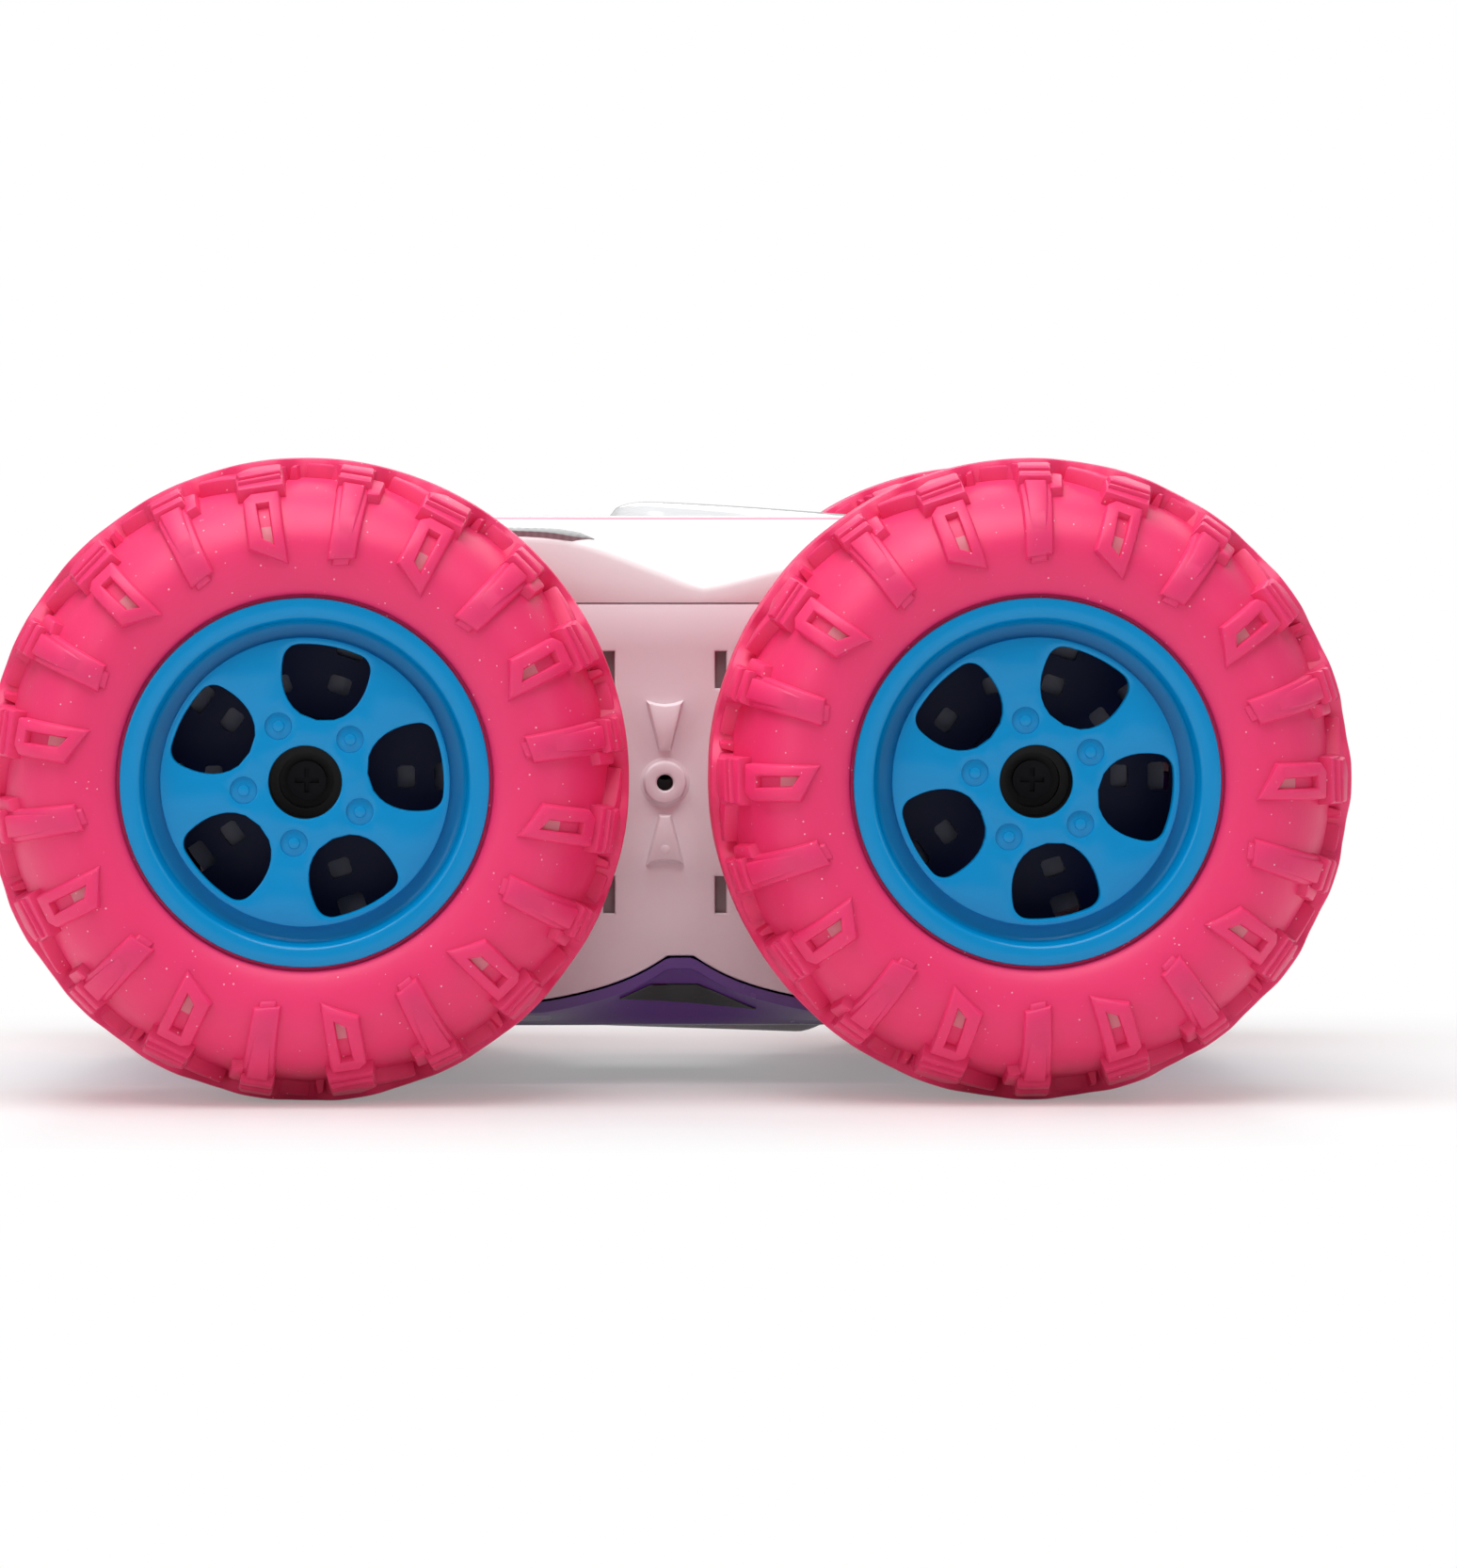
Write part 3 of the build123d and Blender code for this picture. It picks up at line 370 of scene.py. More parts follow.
def stack(bm, outline, layers):
    """Rings of an outline, each at its inset and height, with walls between them."""
    rings = [ring_of(bm, inset(outline, amount), height) for amount, height in layers]
    for low, high in zip(rings, rings[1:]):
        wall_between(bm, low, high)
    return rings


def fill(bm, *rings):
    """A flat face inside the first ring and outside the others."""
    edges = [bm.edges.get((ring[i - 1], ring[i])) for ring in rings for i in range(len(ring))]
    bmesh.ops.triangle_fill(bm, edges=edges, use_beauty=True)


def join_rows(bm, rows, around=False, ends=False):
    """Faces between neighbouring rows of points, closed round them and at their ends if asked."""
    count = len(rows[0])
    for here, after in zip(rows, rows[1:]):
        for i in range(count if around else count - 1):
            j = (i + 1) % count
            bm.faces.new((here[i], here[j], after[j], after[i]))
    if ends:
        bm.faces.new(rows[0])
        bm.faces.new(list(reversed(rows[-1])))


def moulded_lug(outline, height, window=None, floor=0.4, draft=0.4, edge=0.42, tail=None):
    """A raised block in flat tread space, with drafted walls, a round top edge and a window."""
    bm = bmesh.new()
    foot = -0.9
    layers = [(-draft, foot), (0.0, height - edge), (edge * 0.35, height - edge * 0.3), (edge, height)]
    rings = stack(bm, outline, layers)
    bm.faces.new(list(reversed(rings[0])))
    if window:
        soft = edge * 0.7
        layers = [(-soft, height), (-soft * 0.3, height - soft * 0.3), (0.0, height - soft), (0.12, floor)]
        holes = stack(bm, window, layers)
        bm.faces.new(holes[-1]).material_index = 1
        fill(bm, rings[-1], holes[0])
    else:
        bm.faces.new(rings[-1])
    bmesh.ops.recalc_face_normals(bm, faces=bm.faces)
    if tail:
        start, end, drop = tail
        for v in bm.verts:
            if v.co.z > 0 and v.co.x > start:
                share = min((v.co.x - start) / (end - start), 1)
                v.co.z -= drop * share
    runs = [v.co.x for v in bm.verts]
    cut = math.floor(min(runs)) + 1
    while cut < max(runs):
        geometry = bm.verts[:] + bm.edges[:] + bm.faces[:]
        bmesh.ops.bisect_plane(bm, geom=geometry, plane_co=(cut, 0, 0), plane_no=(1, 0, 0), dist=1e-5)
        cut += 1
    return bm


def window_lug_blocks():
    """The window frame, the ridged shoulder block above it and its arm to the rib."""
    top = run_at_radius(42.0)
    high_side = run_at_radius(35.1)
    tip = run_at_radius(32.3)
    frame_outline = [
        (top, -2.55),
        (tip, -2.6),
        (high_side, 2.7),
        (top + 1.6, 2.7),
        (top, 1.5),
    ]
    hole = [
        (run_at_radius(40.5), -0.95),
        (run_at_radius(35.2), -1.0),
        (run_at_radius(36.1), 0.6),
        (run_at_radius(40.5), 0.85),
    ]
    blocks = [moulded_lug(frame_outline, 1.5, hole, tail=(high_side - 2, tip, 0.9))]
    shoulder = run_at_radius(42.3)
    base = [(8.6, -3.4), (shoulder, -3.3), (shoulder, 3.3), (10.6, 3.6), (8.2, 1.2)]
    blocks.append(moulded_lug(base, 2.1))
    blocks.append(moulded_lug([(8.9, -3.2), (12.4, -3.1), (12.9, 2.9), (10.8, 3.3), (8.6, 1.0)], 2.8))
    blocks.append(moulded_lug([(13.3, -3.0), (14.0, -3.0), (14.5, 3.0), (13.8, 3.0)], 2.65, edge=0.2))
    arm = [(5.6, 0.5), (9.4, 0.6), (11.0, 3.3), (9.0, 6.5), (7.4, 9.0), (5.8, 9.0)]
    blocks.append(moulded_lug(arm, 2.1))
    blocks.append(moulded_lug([(5.4, -4.6), (8.8, -3.2), (9.2, -0.5), (5.4, -0.5)], 2.1))
    return blocks


def bar_lug_blocks():
    """The stepped bar, its side block, and the crown box with its three fine ridges."""
    blocks = []
    heel = run_at_radius(34.2)
    toe = run_at_radius(32.7)
    bar = [(10.0, -2.45), (heel + 0.4, -2.0), (heel + 1.2, 1.9), (10.0, 2.45)]
    blocks.append(moulded_lug(bar, 1.3, tail=(heel - 3, heel + 1.2, 0.5)))
    spine = [(14.4, -1.6), (toe, -1.3), (toe + 0.5, 1.2), (14.4, 1.6)]
    blocks.append(moulded_lug(spine, 2.1, tail=(heel - 4, toe, 1.7)))
    blocks.append(moulded_lug([(8.0, -2.4), (11.4, -2.4), (11.4, 2.3), (8.4, 2.3)], 2.85))
    blocks.append(moulded_lug([(11.9, -2.35), (14.0, -2.35), (14.0, 2.3), (11.9, 2.3)], 2.55))
    blocks.append(moulded_lug([(9.4, -4.3), (15.4, -3.9), (16.0, -2.0), (9.0, -2.0)], 1.45))
    box = [(3.6, -3.2), (8.6, -2.5), (8.6, 1.8), (6.4, 3.2), (3.6, 3.4)]
    recess = [(5.2, -1.2), (6.9, -1.1), (6.9, 1.0), (5.2, 1.1)]
    blocks.append(moulded_lug(box, 2.45, recess, floor=1.3, edge=0.25))
    hook = [(3.4, 2.8), (6.6, 3.0), (6.2, 5.2), (5.6, 7.4), (3.4, 7.6)]
    blocks.append(moulded_lug(hook, 2.1))
    for n in range(3):
        along = 8.3 + 1.5 * n
        ridge = [(4.4, along), (7.6, along + 0.5), (7.6, along + 1.2), (4.4, along + 0.7)]
        blocks.append(moulded_lug(ridge, 1.9, edge=0.18))
    return blocks


pocket_middle = run_at_radius(38.2)


def add_blocks(target, blocks, turn, side):
    """Copies flat blocks onto the tyre at a turn, on the outboard or the inboard sidewall."""
    for block in blocks:
        made = {}
        for v in block.verts:
            made[v] = target.verts.new(on_tyre(side * v.co.x, v.co.y, v.co.z, turn))
        for face in block.faces:
            corners = [made[v] for v in face.verts]
            laid = target.faces.new(corners if side > 0 else list(reversed(corners)))
            inner_half = face.calc_center_median().x > pocket_middle
            laid.material_index = 1 if face.material_index and inner_half else 0


def add_carcass(target):
    """The hollow balloon: outer curve, rounded beads and the inside of the wall."""
    around = 180
    rows = 36
    runs = [bead_run * (-1 + 2 * i / (2 * rows)) for i in range(2 * rows + 1)]
    outer = [on_meridian(run) for run in runs]
    section = [(place, radius) for place, radius, _, _ in outer]
    section += [(bead_place - 0.5, bead_radius - 1.6), (bead_place - 3.2, bead_radius - 1.6)]
    inner_runs = [bead_run * 0.93 * (1 - 2 * i / 28) for i in range(29)]
    for run in inner_runs:
        place, radius, out, up = on_meridian(run)
        section.append((place - out * tyre_wall, radius - up * tyre_wall))
    section += [(-bead_place + 3.2, bead_radius - 1.6), (-bead_place + 0.5, bead_radius - 1.6)]
    rings = []
    for n in range(around):
        a = 2 * math.pi * n / around
        rings.append([target.verts.new((r * math.cos(a), r * math.sin(a), p)) for p, r in section])
    join_rows(target, rings[::-1] + rings[-1:], around=True)


def soft_step(x):
    x = max(0.0, min(1.0, x))
    return x * x * (3 - 2 * x)


def rib_half_width(turn, side):
    """The crown rib's half width, wider where a lug runs into it."""
    pitch = 2 * math.pi / 20
    shift = 0 if side > 0 else 0.5
    phase = (turn / pitch + shift) % 2
    near_window = max(0, 1 - abs(phase if phase < 1 else phase - 2) / 0.44)
    near_bar = max(0, 1 - abs(phase - 1) / 0.38)
    return 5.3 + 3.1 * soft_step(near_window * 1.5) + 2.3 * soft_step(near_bar * 1.5)


def add_rib(target):
    """The rib round the crown, with stepped edges and a shallow zigzag groove down its middle."""
    around = 400
    crown = tyre_radius
    rows = []
    for n in range(around):
        turn = 2 * math.pi * n / around
        pitch = 2 * math.pi / 20
        swing = abs(((turn / pitch) % 1) * 2 - 1) * 3.0 - 1.5
        right, left = rib_half_width(turn, 1), rib_half_width(turn, -1)
        edge = [(0.5, carcass_crown - 1.0), (0.0, crown - 0.75), (-0.35, crown - 0.2), (-0.9, crown - 0.02)]
        groove = [(0.75, crown), (0.5, crown - 0.55), (-0.5, crown - 0.55), (-0.75, crown)]
        section = [(right + out, radius) for out, radius in edge]
        section += [(swing + out, radius) for out, radius in groove]
        section += [(-left - out, radius) for out, radius in reversed(edge)]
        c, s = math.cos(turn), math.sin(turn)
        rows.append([target.verts.new((r * c, r * s, p)) for p, r in section])
    join_rows(target, rows + rows[:1], around=True)


def sharpen(mesh, degrees):
    """Smooth shading with sharp edges where faces meet at more than an angle."""
    bm = bmesh.new()
    bm.from_mesh(mesh)
    limit = math.radians(degrees)
    for face in bm.faces:
        face.smooth = True
    for edge in bm.edges:
        edge.smooth = len(edge.link_faces) == 2 and edge.calc_face_angle(0) < limit
    bm.to_mesh(mesh)
    bm.free()


def tyre_mesh():
    """One tyre about its own middle, its axis along Z, in metres."""
    target = bmesh.new()
    add_carcass(target)
    add_rib(target)
    windows, bars = window_lug_blocks(), bar_lug_blocks()
    pitch = 2 * math.pi / 20
    for side in (1, -1):
        start = 0 if side > 0 else pitch / 2
        for n in range(20):
            add_blocks(target, windows if n % 2 == 0 else bars, start + n * pitch, side)
    for block in windows + bars:
        block.free()
    mesh = bpy.data.meshes.new("tyre")
    target.to_mesh(mesh)
    target.free()
    mesh.transform(Matrix.Scale(mm, 4))
    sharpen(mesh, 32)
    return mesh


def wheel_matrix(corner):
    """Where a wheel's outboard frame lies: X along the car, Y up and Z outboard."""
    along, across, turn = wheel_places[corner]
    low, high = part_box("axle_" + corner)
    tyre_low, tyre_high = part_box("tyre_" + corner)
    middle = Vector(((low.x + high.x) / 2, (tyre_low.y + tyre_high.y) / 2, (low.z + high.z) / 2))
    if across < 0:
        axes = Matrix(((1, 0, 0), (0, 0, -1), (0, 1, 0))).to_4x4()
    else:
        axes = Matrix(((-1, 0, 0), (0, 0, 1), (0, 1, 0))).to_4x4()
    return Matrix.Translation(middle) @ axes @ Matrix.Rotation(math.radians(turn), 4, "Z")


def place_piece(name, mesh, finish, node=None, body="chassis", matrix=Matrix()):
    """Adds a finished piece at its place, rides it on its body and lets it stand for its node."""
    own = mesh.copy()
    own.transform(matrix)
    for coat in finish if isinstance(finish, list) else [finish]:
        own.materials.append(coat)
    piece = bpy.data.objects.new(name, own)
    scene.collection.objects.link(piece)
    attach(piece, body)
    if node:
        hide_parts(node)
    return piece


def tyre_finish(name, deep, pale):
    """Satin pink vinyl, a little deeper in places, with white glitter specks just under the skin."""
    finish = Finish(name, Subsurface_Weight=0.12, Subsurface_Scale=0.004, Specular_IOR_Level=0.45)
    finish.shader.inputs["Subsurface Radius"].default_value = (1.0, 0.25, 0.35)
    cloud = finish.noise(38.0, 4.0)
    base = finish.mix(cloud, (*deep, 1), (*pale, 1))
    specks = finish.node("ShaderNodeTexVoronoi", Vector=finish.place, Scale=1300.0, Randomness=1.0)
    chosen = finish.node("ShaderNodeTexWhiteNoise", Vector=specks.out("Position")).out("Value")
    patch = finish.noise(55.0, 2.0)
    rare = chosen > patch * -0.10 + 0.99
    glitter = rare * (specks.out("Distance") < 0.17)
    dust = finish.noise(1500.0, 2.0) > 0.74
    spark = (glitter + dust * 0.12).clamped()
    finish.colour(finish.mix(spark * 0.5, base, (1.0, 0.72, 0.80, 1)))
    finish.roughness(0.42 + finish.noise(240.0, 3.0) * 0.16 - glitter * 0.25)
    finish.bump(finish.noise(700.0, 3.0) * 0.6 + finish.noise(90.0, 2.0), 0.35, 0.00012)
    return finish.material


pink_vinyl = tyre_finish("pink_vinyl", (0.74, 0.022, 0.128), (0.83, 0.034, 0.158))
pocket_pale = tyre_finish("pale_pocket_floor", (0.66, 0.16, 0.22), (0.72, 0.24, 0.30))
one_tyre = tyre_mesh()
tyre_coats = [pink_vinyl, pocket_pale]
for corner in wheel_places:
    body, place = "wheel_" + corner, wheel_matrix(corner)
    place_piece("balloon_tyre_" + corner, one_tyre, tyre_coats, "tyre_" + corner, body, place)


# ---- Rims' outer halves --------------------------------------------------------------------------
# The outer half of each rim is one gloss blue moulding: a rolled lip, a cone down to a flat face
# with five windows and five false nuts, and a deep hub whose bore is coloured black as painted shade. It snaps
# on to the inner half.
lip_radius = 27.2
lip_place = 20.4
face_place = 17.4
face_radius = 21.4
face_thickness = 2.2
bore_radius = 5.4
bore_depth = 8.0
hub_radius = 7.2
nut_circle = 9.15
nut_angles = {"rear_right": 43.5, "front_right": 28.0, "front_left": 43.5, "rear_left": 28.0}


def circle(radius, steps, x=0.0, y=0.0):
    """Points round a circle."""
    turns = [2 * math.pi * i / steps for i in range(steps)]
    return [(x + radius * math.cos(a), y + radius * math.sin(a)) for a in turns]


def turned_points(points, angle):
    c, s = math.cos(angle), math.sin(angle)
    return [(x * c - y * s, x * s + y * c) for x, y in points]


def rounded(points, radii, steps=6):
    """The outline with each corner rounded to its radius."""
    result = []
    count = len(points)
    for i, radius in enumerate(radii):
        here = Vector(points[i])
        back = (Vector(points[i - 1]) - here).normalized()
        ahead = (Vector(points[(i + 1) % count]) - here).normalized()
        if radius <= 0:
            result.append(tuple(here))
            continue
        half = math.acos(max(-1, min(1, back.dot(ahead)))) / 2
        reach = radius / math.tan(half)
        middle = here + (back + ahead).normalized() * (radius / math.sin(half))
        first = here + back * reach - middle
        last = here + ahead * reach - middle
        swing = math.atan2(first.x * last.y - first.y * last.x, first.dot(last))
        for k in range(steps + 1):
            x, y = turned_points([tuple(first)], swing * k / steps)[0]
            result.append((middle.x + x, middle.y + y))
    return result


def lathe(target, profile, steps, at=(0.0, 0.0)):
    """A closed profile of radius and place, turned into a ring; a radius of 0 closes to a point."""
    rings = []
    for radius, place in profile:
        if radius == 0:
            rings.append([target.verts.new((at[0], at[1], place))])
        else:
            rings.append([target.verts.new((x, y, place)) for x, y in circle(radius, steps, *at)])
    made = []
    for low, high in zip(rings, rings[1:] + rings[:1]):
        for i in range(steps):
            j = (i + 1) % steps
            corners = [low[i % len(low)], low[j % len(low)], high[j % len(high)], high[i % len(high)]]
            corners = list(dict.fromkeys(corners))
            if len(corners) > 2:
                made.append(target.faces.new(corners))
    return made


def plate(target, outline, holes, back, front, edge):
    """A flat plate with holes through it and a soft edge round its front."""
    layers = [(0.0, back), (0.0, front - edge), (edge * 0.3, front - edge * 0.3), (edge, front)]
    flared = [(-amount, height) for amount, height in layers]
    stacks = [stack(target, outline, layers)] + [stack(target, hole, flared) for hole in holes]
    for end in (0, -1):
        fill(target, *(rings[end] for rings in stacks))


def rim_window():
    """One window of the rim's face, pointing along X, with round corners."""
    half, corner, outer = 6.5, 2.4, 20.4
    rise = half - corner
    reach = math.sqrt((outer - corner) ** 2 - rise * rise)
    swing = math.asin(rise / (outer - corner))
    arc = [(outer * math.cos(swing * i / 6), outer * math.sin(swing * i / 6)) for i in range(6)]
    turns = [swing + (math.pi / 2 - swing) * i / 6 for i in range(7)]
    round_corner = [(reach + corner * math.cos(a), rise + corner * math.sin(a)) for a in turns]
    places = [9.3 + (reach - 9.3) * math.cos(math.pi / 2 * i / 12) ** 1.4 for i in range(1, 12)]
    flank = [(x, half * (1 - ((reach - x) / (reach - 9.3)) ** 2.2) ** (1 / 2.2)) for x in places]
    upper = arc + round_corner + flank
    return upper + [(9.3, 0.0)] + [(x, -y) for x, y in reversed(upper[1:])]


def finished_mesh(name, target, degrees=32):
    """Turns built geometry in millimetres into a shaded mesh in metres."""
    bmesh.ops.remove_doubles(target, verts=target.verts, dist=1e-4)
    bmesh.ops.recalc_face_normals(target, faces=target.faces)
    mesh = bpy.data.meshes.new(name)
    target.to_mesh(mesh)
    target.free()
    mesh.transform(Matrix.Scale(mm, 4))
    sharpen(mesh, degrees)
    return mesh


def rim_outer_mesh(nut_angle):
    """The outer half of a rim about its own middle, its axis along Z, with its bore coloured black as painted
    shade.
    """
    target = bmesh.new()
    fifth = 2 * math.pi / 5
    start = math.radians(nut_angle)
    window_holes = [turned_points(rim_window(), start + fifth * (n + 0.5)) for n in range(5)]
    nut_places = [turned_points([(nut_circle, 0.0)], start + fifth * n)[0] for n in range(5)]
    nut_holes = [circle(1.95, 28, x, y) for x, y in nut_places]
    holes = window_holes + nut_holes + [circle(bore_radius, 72)]
    plate(target, circle(face_radius, 120), holes, face_place - face_thickness, face_place, 0.32)
    inner, back = face_radius - 0.3, face_place - face_thickness - 0.1
    flange = [(inner, face_place - 1.9), (23.1, face_place - 1.9), (23.75, face_place - 1.4)]
    flange += [(24.15, lip_place - 0.55), (24.38, lip_place - 0.18), (24.8, lip_place), (26.75, lip_place)]
    flange += [(27.08, lip_place - 0.12), (lip_radius, lip_place - 0.45), (lip_radius, lip_place - 0.85)]
    flange += [(26.9, lip_place - 1.0), (25.4, lip_place - 1.1), (25.4, 0.2), (23.8, 0.2)]
    lathe(target, flange + [(23.6, back), (inner, back)], 144)
    nut = [(0, 0.02), (0.45, -0.02), (0.78, -0.14), (0.9, -0.42), (1.25, -0.5)]
    nut += [(2.0, -0.5), (2.0, -1.9), (0, -1.9)]
    for at in nut_places:
        lathe(target, [(radius, face_place + lift) for radius, lift in nut], 28, at)
    floor = face_place - bore_depth
    hub = [(hub_radius, face_place - 1.6), (hub_radius, 0.2), (2.6, 0.2), (2.6, 4.15), (1.6, 4.15)]
    hub += [(1.6, 7.15), (4.1, 7.15), (4.1, floor), (bore_radius, floor), (bore_radius, face_place - 1.6)]
    lathe(target, hub, 72)
    # Faces deep in the bore take the black coat: painted shade of the deep hole.
    for face in target.faces:
        x, y, z = face.calc_center_median()
        if math.hypot(x, y) < bore_radius + 0.15 and z < face_place - 0.5:
            face.material_index = 1
    return finished_mesh("rim_outer", target, 38)


def gloss_finish(name, deep, pale, roughness, speck=0.0, **fixed):
    """Moulded gloss plastic: a slow drift of colour, faint flow ripples and fine handling marks."""
    finish = Finish(name, **fixed)
    drift = finish.noise(24.0, 3.0)
    base = finish.mix(drift, (*deep, 1), (*pale, 1))
    if speck:
        dust = finish.noise(1100.0, 2.0) > 0.76
        base = finish.mix(dust * speck, base, (0.9, 0.9, 0.92, 1))
    finish.colour(base)
    marks = finish.noise(420.0, 4.0)
    finish.roughness(roughness + marks * 0.07 + finish.noise(60.0, 2.0) * 0.04)
    finish.bump(finish.noise(130.0, 2.0) + marks * 0.15, 0.10, 0.00008)
    return finish


rim_blue = gloss_finish(
    "rim_blue_gloss", (0.0, 0.225, 0.51), (0.0, 0.25, 0.56), 0.16, Specular_IOR_Level=0.30
).material
# Black painted shade for the rim's deep bore and the panel boss's hole.
painted_hole_shade = gloss_finish("painted_hole_shade_black", (0.001, 0.001, 0.002), (0.004, 0.004, 0.006), 0.5).material
rim_coats = [rim_blue, painted_hole_shade]
for corner, angle in nut_angles.items():
    body, place = "wheel_" + corner, wheel_matrix(corner)
    mesh = rim_outer_mesh(angle - wheel_places[corner][2])
    place_piece("blue_rim_" + corner, mesh, rim_coats, "rim_outer_" + corner, body, place)


# ---- Rims' inner halves, axles and wheel screws --------------------------------------------------
# The inner half of each rim is a moulding with two rings of slots through its disc, coloured dark navy: the
# rim's blue with painted shade. A pale ring behind the slots is painted light seen through them.
# A steel stub axle drives it, and a screw down the hub holds the wheel on; the screw is coloured near black as
# painted shade.
def finish_nodes(material, *nodes):
    """Gives frame pieces their finish."""
    for node in nodes:
        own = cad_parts[node]
        own.data.materials.clear()
        own.data.materials.append(material)


def metal_finish(name, deep, pale, roughness, stretch, **fixed):
    """Bare metal with fine turning or drawing lines and a few darker stains."""
    finish = Finish(name, Metallic=1.0, **fixed)
    mapping = finish.node("ShaderNodeMapping", Vector=finish.place, Scale=stretch)
    lines = finish.noise(300.0, 4.0, 0.6, mapping.out(0))
    stain = finish.noise(70.0, 3.0)
    finish.colour(finish.mix(stain * 0.7 + lines * 0.3, (*deep, 1), (*pale, 1)))
    finish.roughness(roughness + lines * 0.18)
    finish.bump(lines, 0.12, 0.00005)
    return finish.material


# The inner half's dark navy is the rim's blue darkened: painted shade inside the wheel.
rim_inner_painted_shade = gloss_finish(
    "rim_inner_painted_shade_navy", (0.001, 0.007, 0.060), (0.002, 0.012, 0.090), 0.30, Specular_IOR_Level=0.25
).material
axle_steel = metal_finish("axle_steel", (0.42, 0.42, 0.44), (0.62, 0.62, 0.64), 0.24, (1.0, 12.0, 1.0))
# The wheel screw is coloured near black: painted shade of the deep hub around it.
screw_painted_shade = metal_finish("screw_painted_shade_black", (0.010, 0.010, 0.012), (0.03, 0.03, 0.034), 0.42, (4.0, 4.0, 4.0))


def painted_slot_light_mesh():
    """A thin pale ring behind the slots: painted light seen through them."""
    target = bmesh.new()
    lathe(target, [(11.5, -10.35), (21.5, -10.35), (21.5, -10.75), (11.5, -10.75)], 96)
    return finished_mesh("painted_slot_light", target)


# The ring's pale lilac grey is painted light seen through the slots.
painted_slot_light_coat = gloss_finish("painted_slot_light_grey", (0.30, 0.29, 0.36), (0.40, 0.39, 0.47), 0.35).material
one_painted_slot_light = painted_slot_light_mesh()
for corner in wheel_places:
    body, place = "wheel_" + corner, wheel_matrix(corner)
    place_piece("painted_slot_light_" + corner, one_painted_slot_light, painted_slot_light_coat, body=body, matrix=place)
    finish_nodes(rim_inner_painted_shade, "rim_inner_" + corner)
    finish_nodes(axle_steel, "axle_" + corner)
    finish_nodes(screw_painted_shade, "wheel_screw_" + corner)


# ---- Gear trains ---------------------------------------------------------------------------------
# Down each side run five equal gears of natural acetal, driven through a two-step gear by a small
# brass pinion pressed on the motor's shaft. They turn on steel pins and thin brass bushes.
acetal_finish = Finish("natural_acetal", Subsurface_Weight=0.15, Subsurface_Scale=0.002)
grease = acetal_finish.noise(160.0, 3.0)
acetal_finish.colour(acetal_finish.mix(grease, (0.80, 0.78, 0.70, 1), (0.88, 0.87, 0.82, 1)))
acetal_finish.roughness(0.34 + grease * 0.2)
acetal_finish.bump(acetal_finish.noise(600.0, 2.0), 0.08, 0.00005)
acetal = acetal_finish.material
brass = metal_finish("turned_brass", (0.55, 0.36, 0.11), (0.76, 0.55, 0.22), 0.26, (1.0, 10.0, 1.0))
for corner in wheel_places:
    finish_nodes(acetal, "axle_gear_" + corner, "idler_gear_" + corner)
for side in ("right", "left"):
    finish_nodes(acetal, "centre_gear_" + side, "reduction_gear_" + side)
    finish_nodes(brass, "motor_pinion_" + side, "axle_bushes_" + side)
finish_nodes(axle_steel, "gear_pins")


# ---- Motors, gearbox trays and their screws ------------------------------------------------------
# Each side has a small can motor of drawn steel. It is clamped behind a tray of black plastic with
# a fine spark-eroded grain, which closes the gearbox from inside with five small screws.
can_steel = metal_finish("drawn_can_steel", (0.46, 0.46, 0.47), (0.66, 0.66, 0.67), 0.20, (1.0, 9.0, 1.0))


def grained_finish(name, deep, pale, grain_size, depth):
    """Matt plastic with a moulded grain."""
    finish = Finish(name)
    grain = finish.node("ShaderNodeTexVoronoi", Vector=finish.place, Scale=grain_size).out("Distance")
    finish.colour(finish.mix(finish.noise(40.0, 3.0) * 0.7 + grain * 0.3, (*deep, 1), (*pale, 1)))
    finish.roughness(0.48 + grain * 0.2)
    finish.bump(grain + finish.noise(900.0, 2.0) * 0.4, 0.3, depth)
    return finish.material


tray_black = grained_finish("grained_black", (0.018, 0.018, 0.020), (0.035, 0.035, 0.038), 1400.0, 0.00008)
for side in ("right", "left"):
    finish_nodes(can_steel, "motor_" + side)
    finish_nodes(axle_steel, "motor_shaft_" + side)
    finish_nodes(tray_black, "gearbox_tray_" + side)
finish_nodes(axle_steel, "case_screws", "body_screws")


# ---- Side panels ---------------------------------------------------------------------------------
# Each side panel is a satin white moulding that closes the gearbox from outside; its white is tinted pink as
# painted bounce light from the tyres. It has a straight top, a wave in its lower edge, four narrow vents, and a
# boss with a fan-shaped rib on either side.
panel_low, panel_high = (1000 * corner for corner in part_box("side_panel_right"))
panel_face = -panel_low.y - 1.2
panel_back = panel_face - 1.8
panel_top = panel_high.z
panel_foot = panel_low.z
panel_half = panel_high.x
boss_height = axle_height * 1000 - 1.5
wave_middle = 2.4
wave_flat = 2.0
wave_reach = 20.0
wave_rise = 6.8


def panel_edge(x):
    """Height of the panel's lower edge at a place along the car."""
    away = max(abs(x - wave_middle) - wave_flat, 0) / wave_reach
    if away >= 1:
        return panel_foot
    ease = 1 - away
    return panel_foot + wave_rise * ease ** 1.45 * (1 - 0.18 * math.sin(math.pi * away))


def panel_outline():
    """The panel's outline seen from outboard."""
    wave = [wave_middle + (wave_flat + wave_reach * i / 16) * way for way in (1, -1) for i in range(17)]
    run = [(x, panel_edge(x)) for x in sorted(wave)]
    ends = [(-66.0, panel_foot), (-panel_half, 44.0), (-panel_half, panel_top)]
    others = [(panel_half, panel_top), (panel_half, 44.0), (66.0, panel_foot)]
    corners = rounded(ends + others, [8.0] * 6)
    return corners + list(reversed(run))


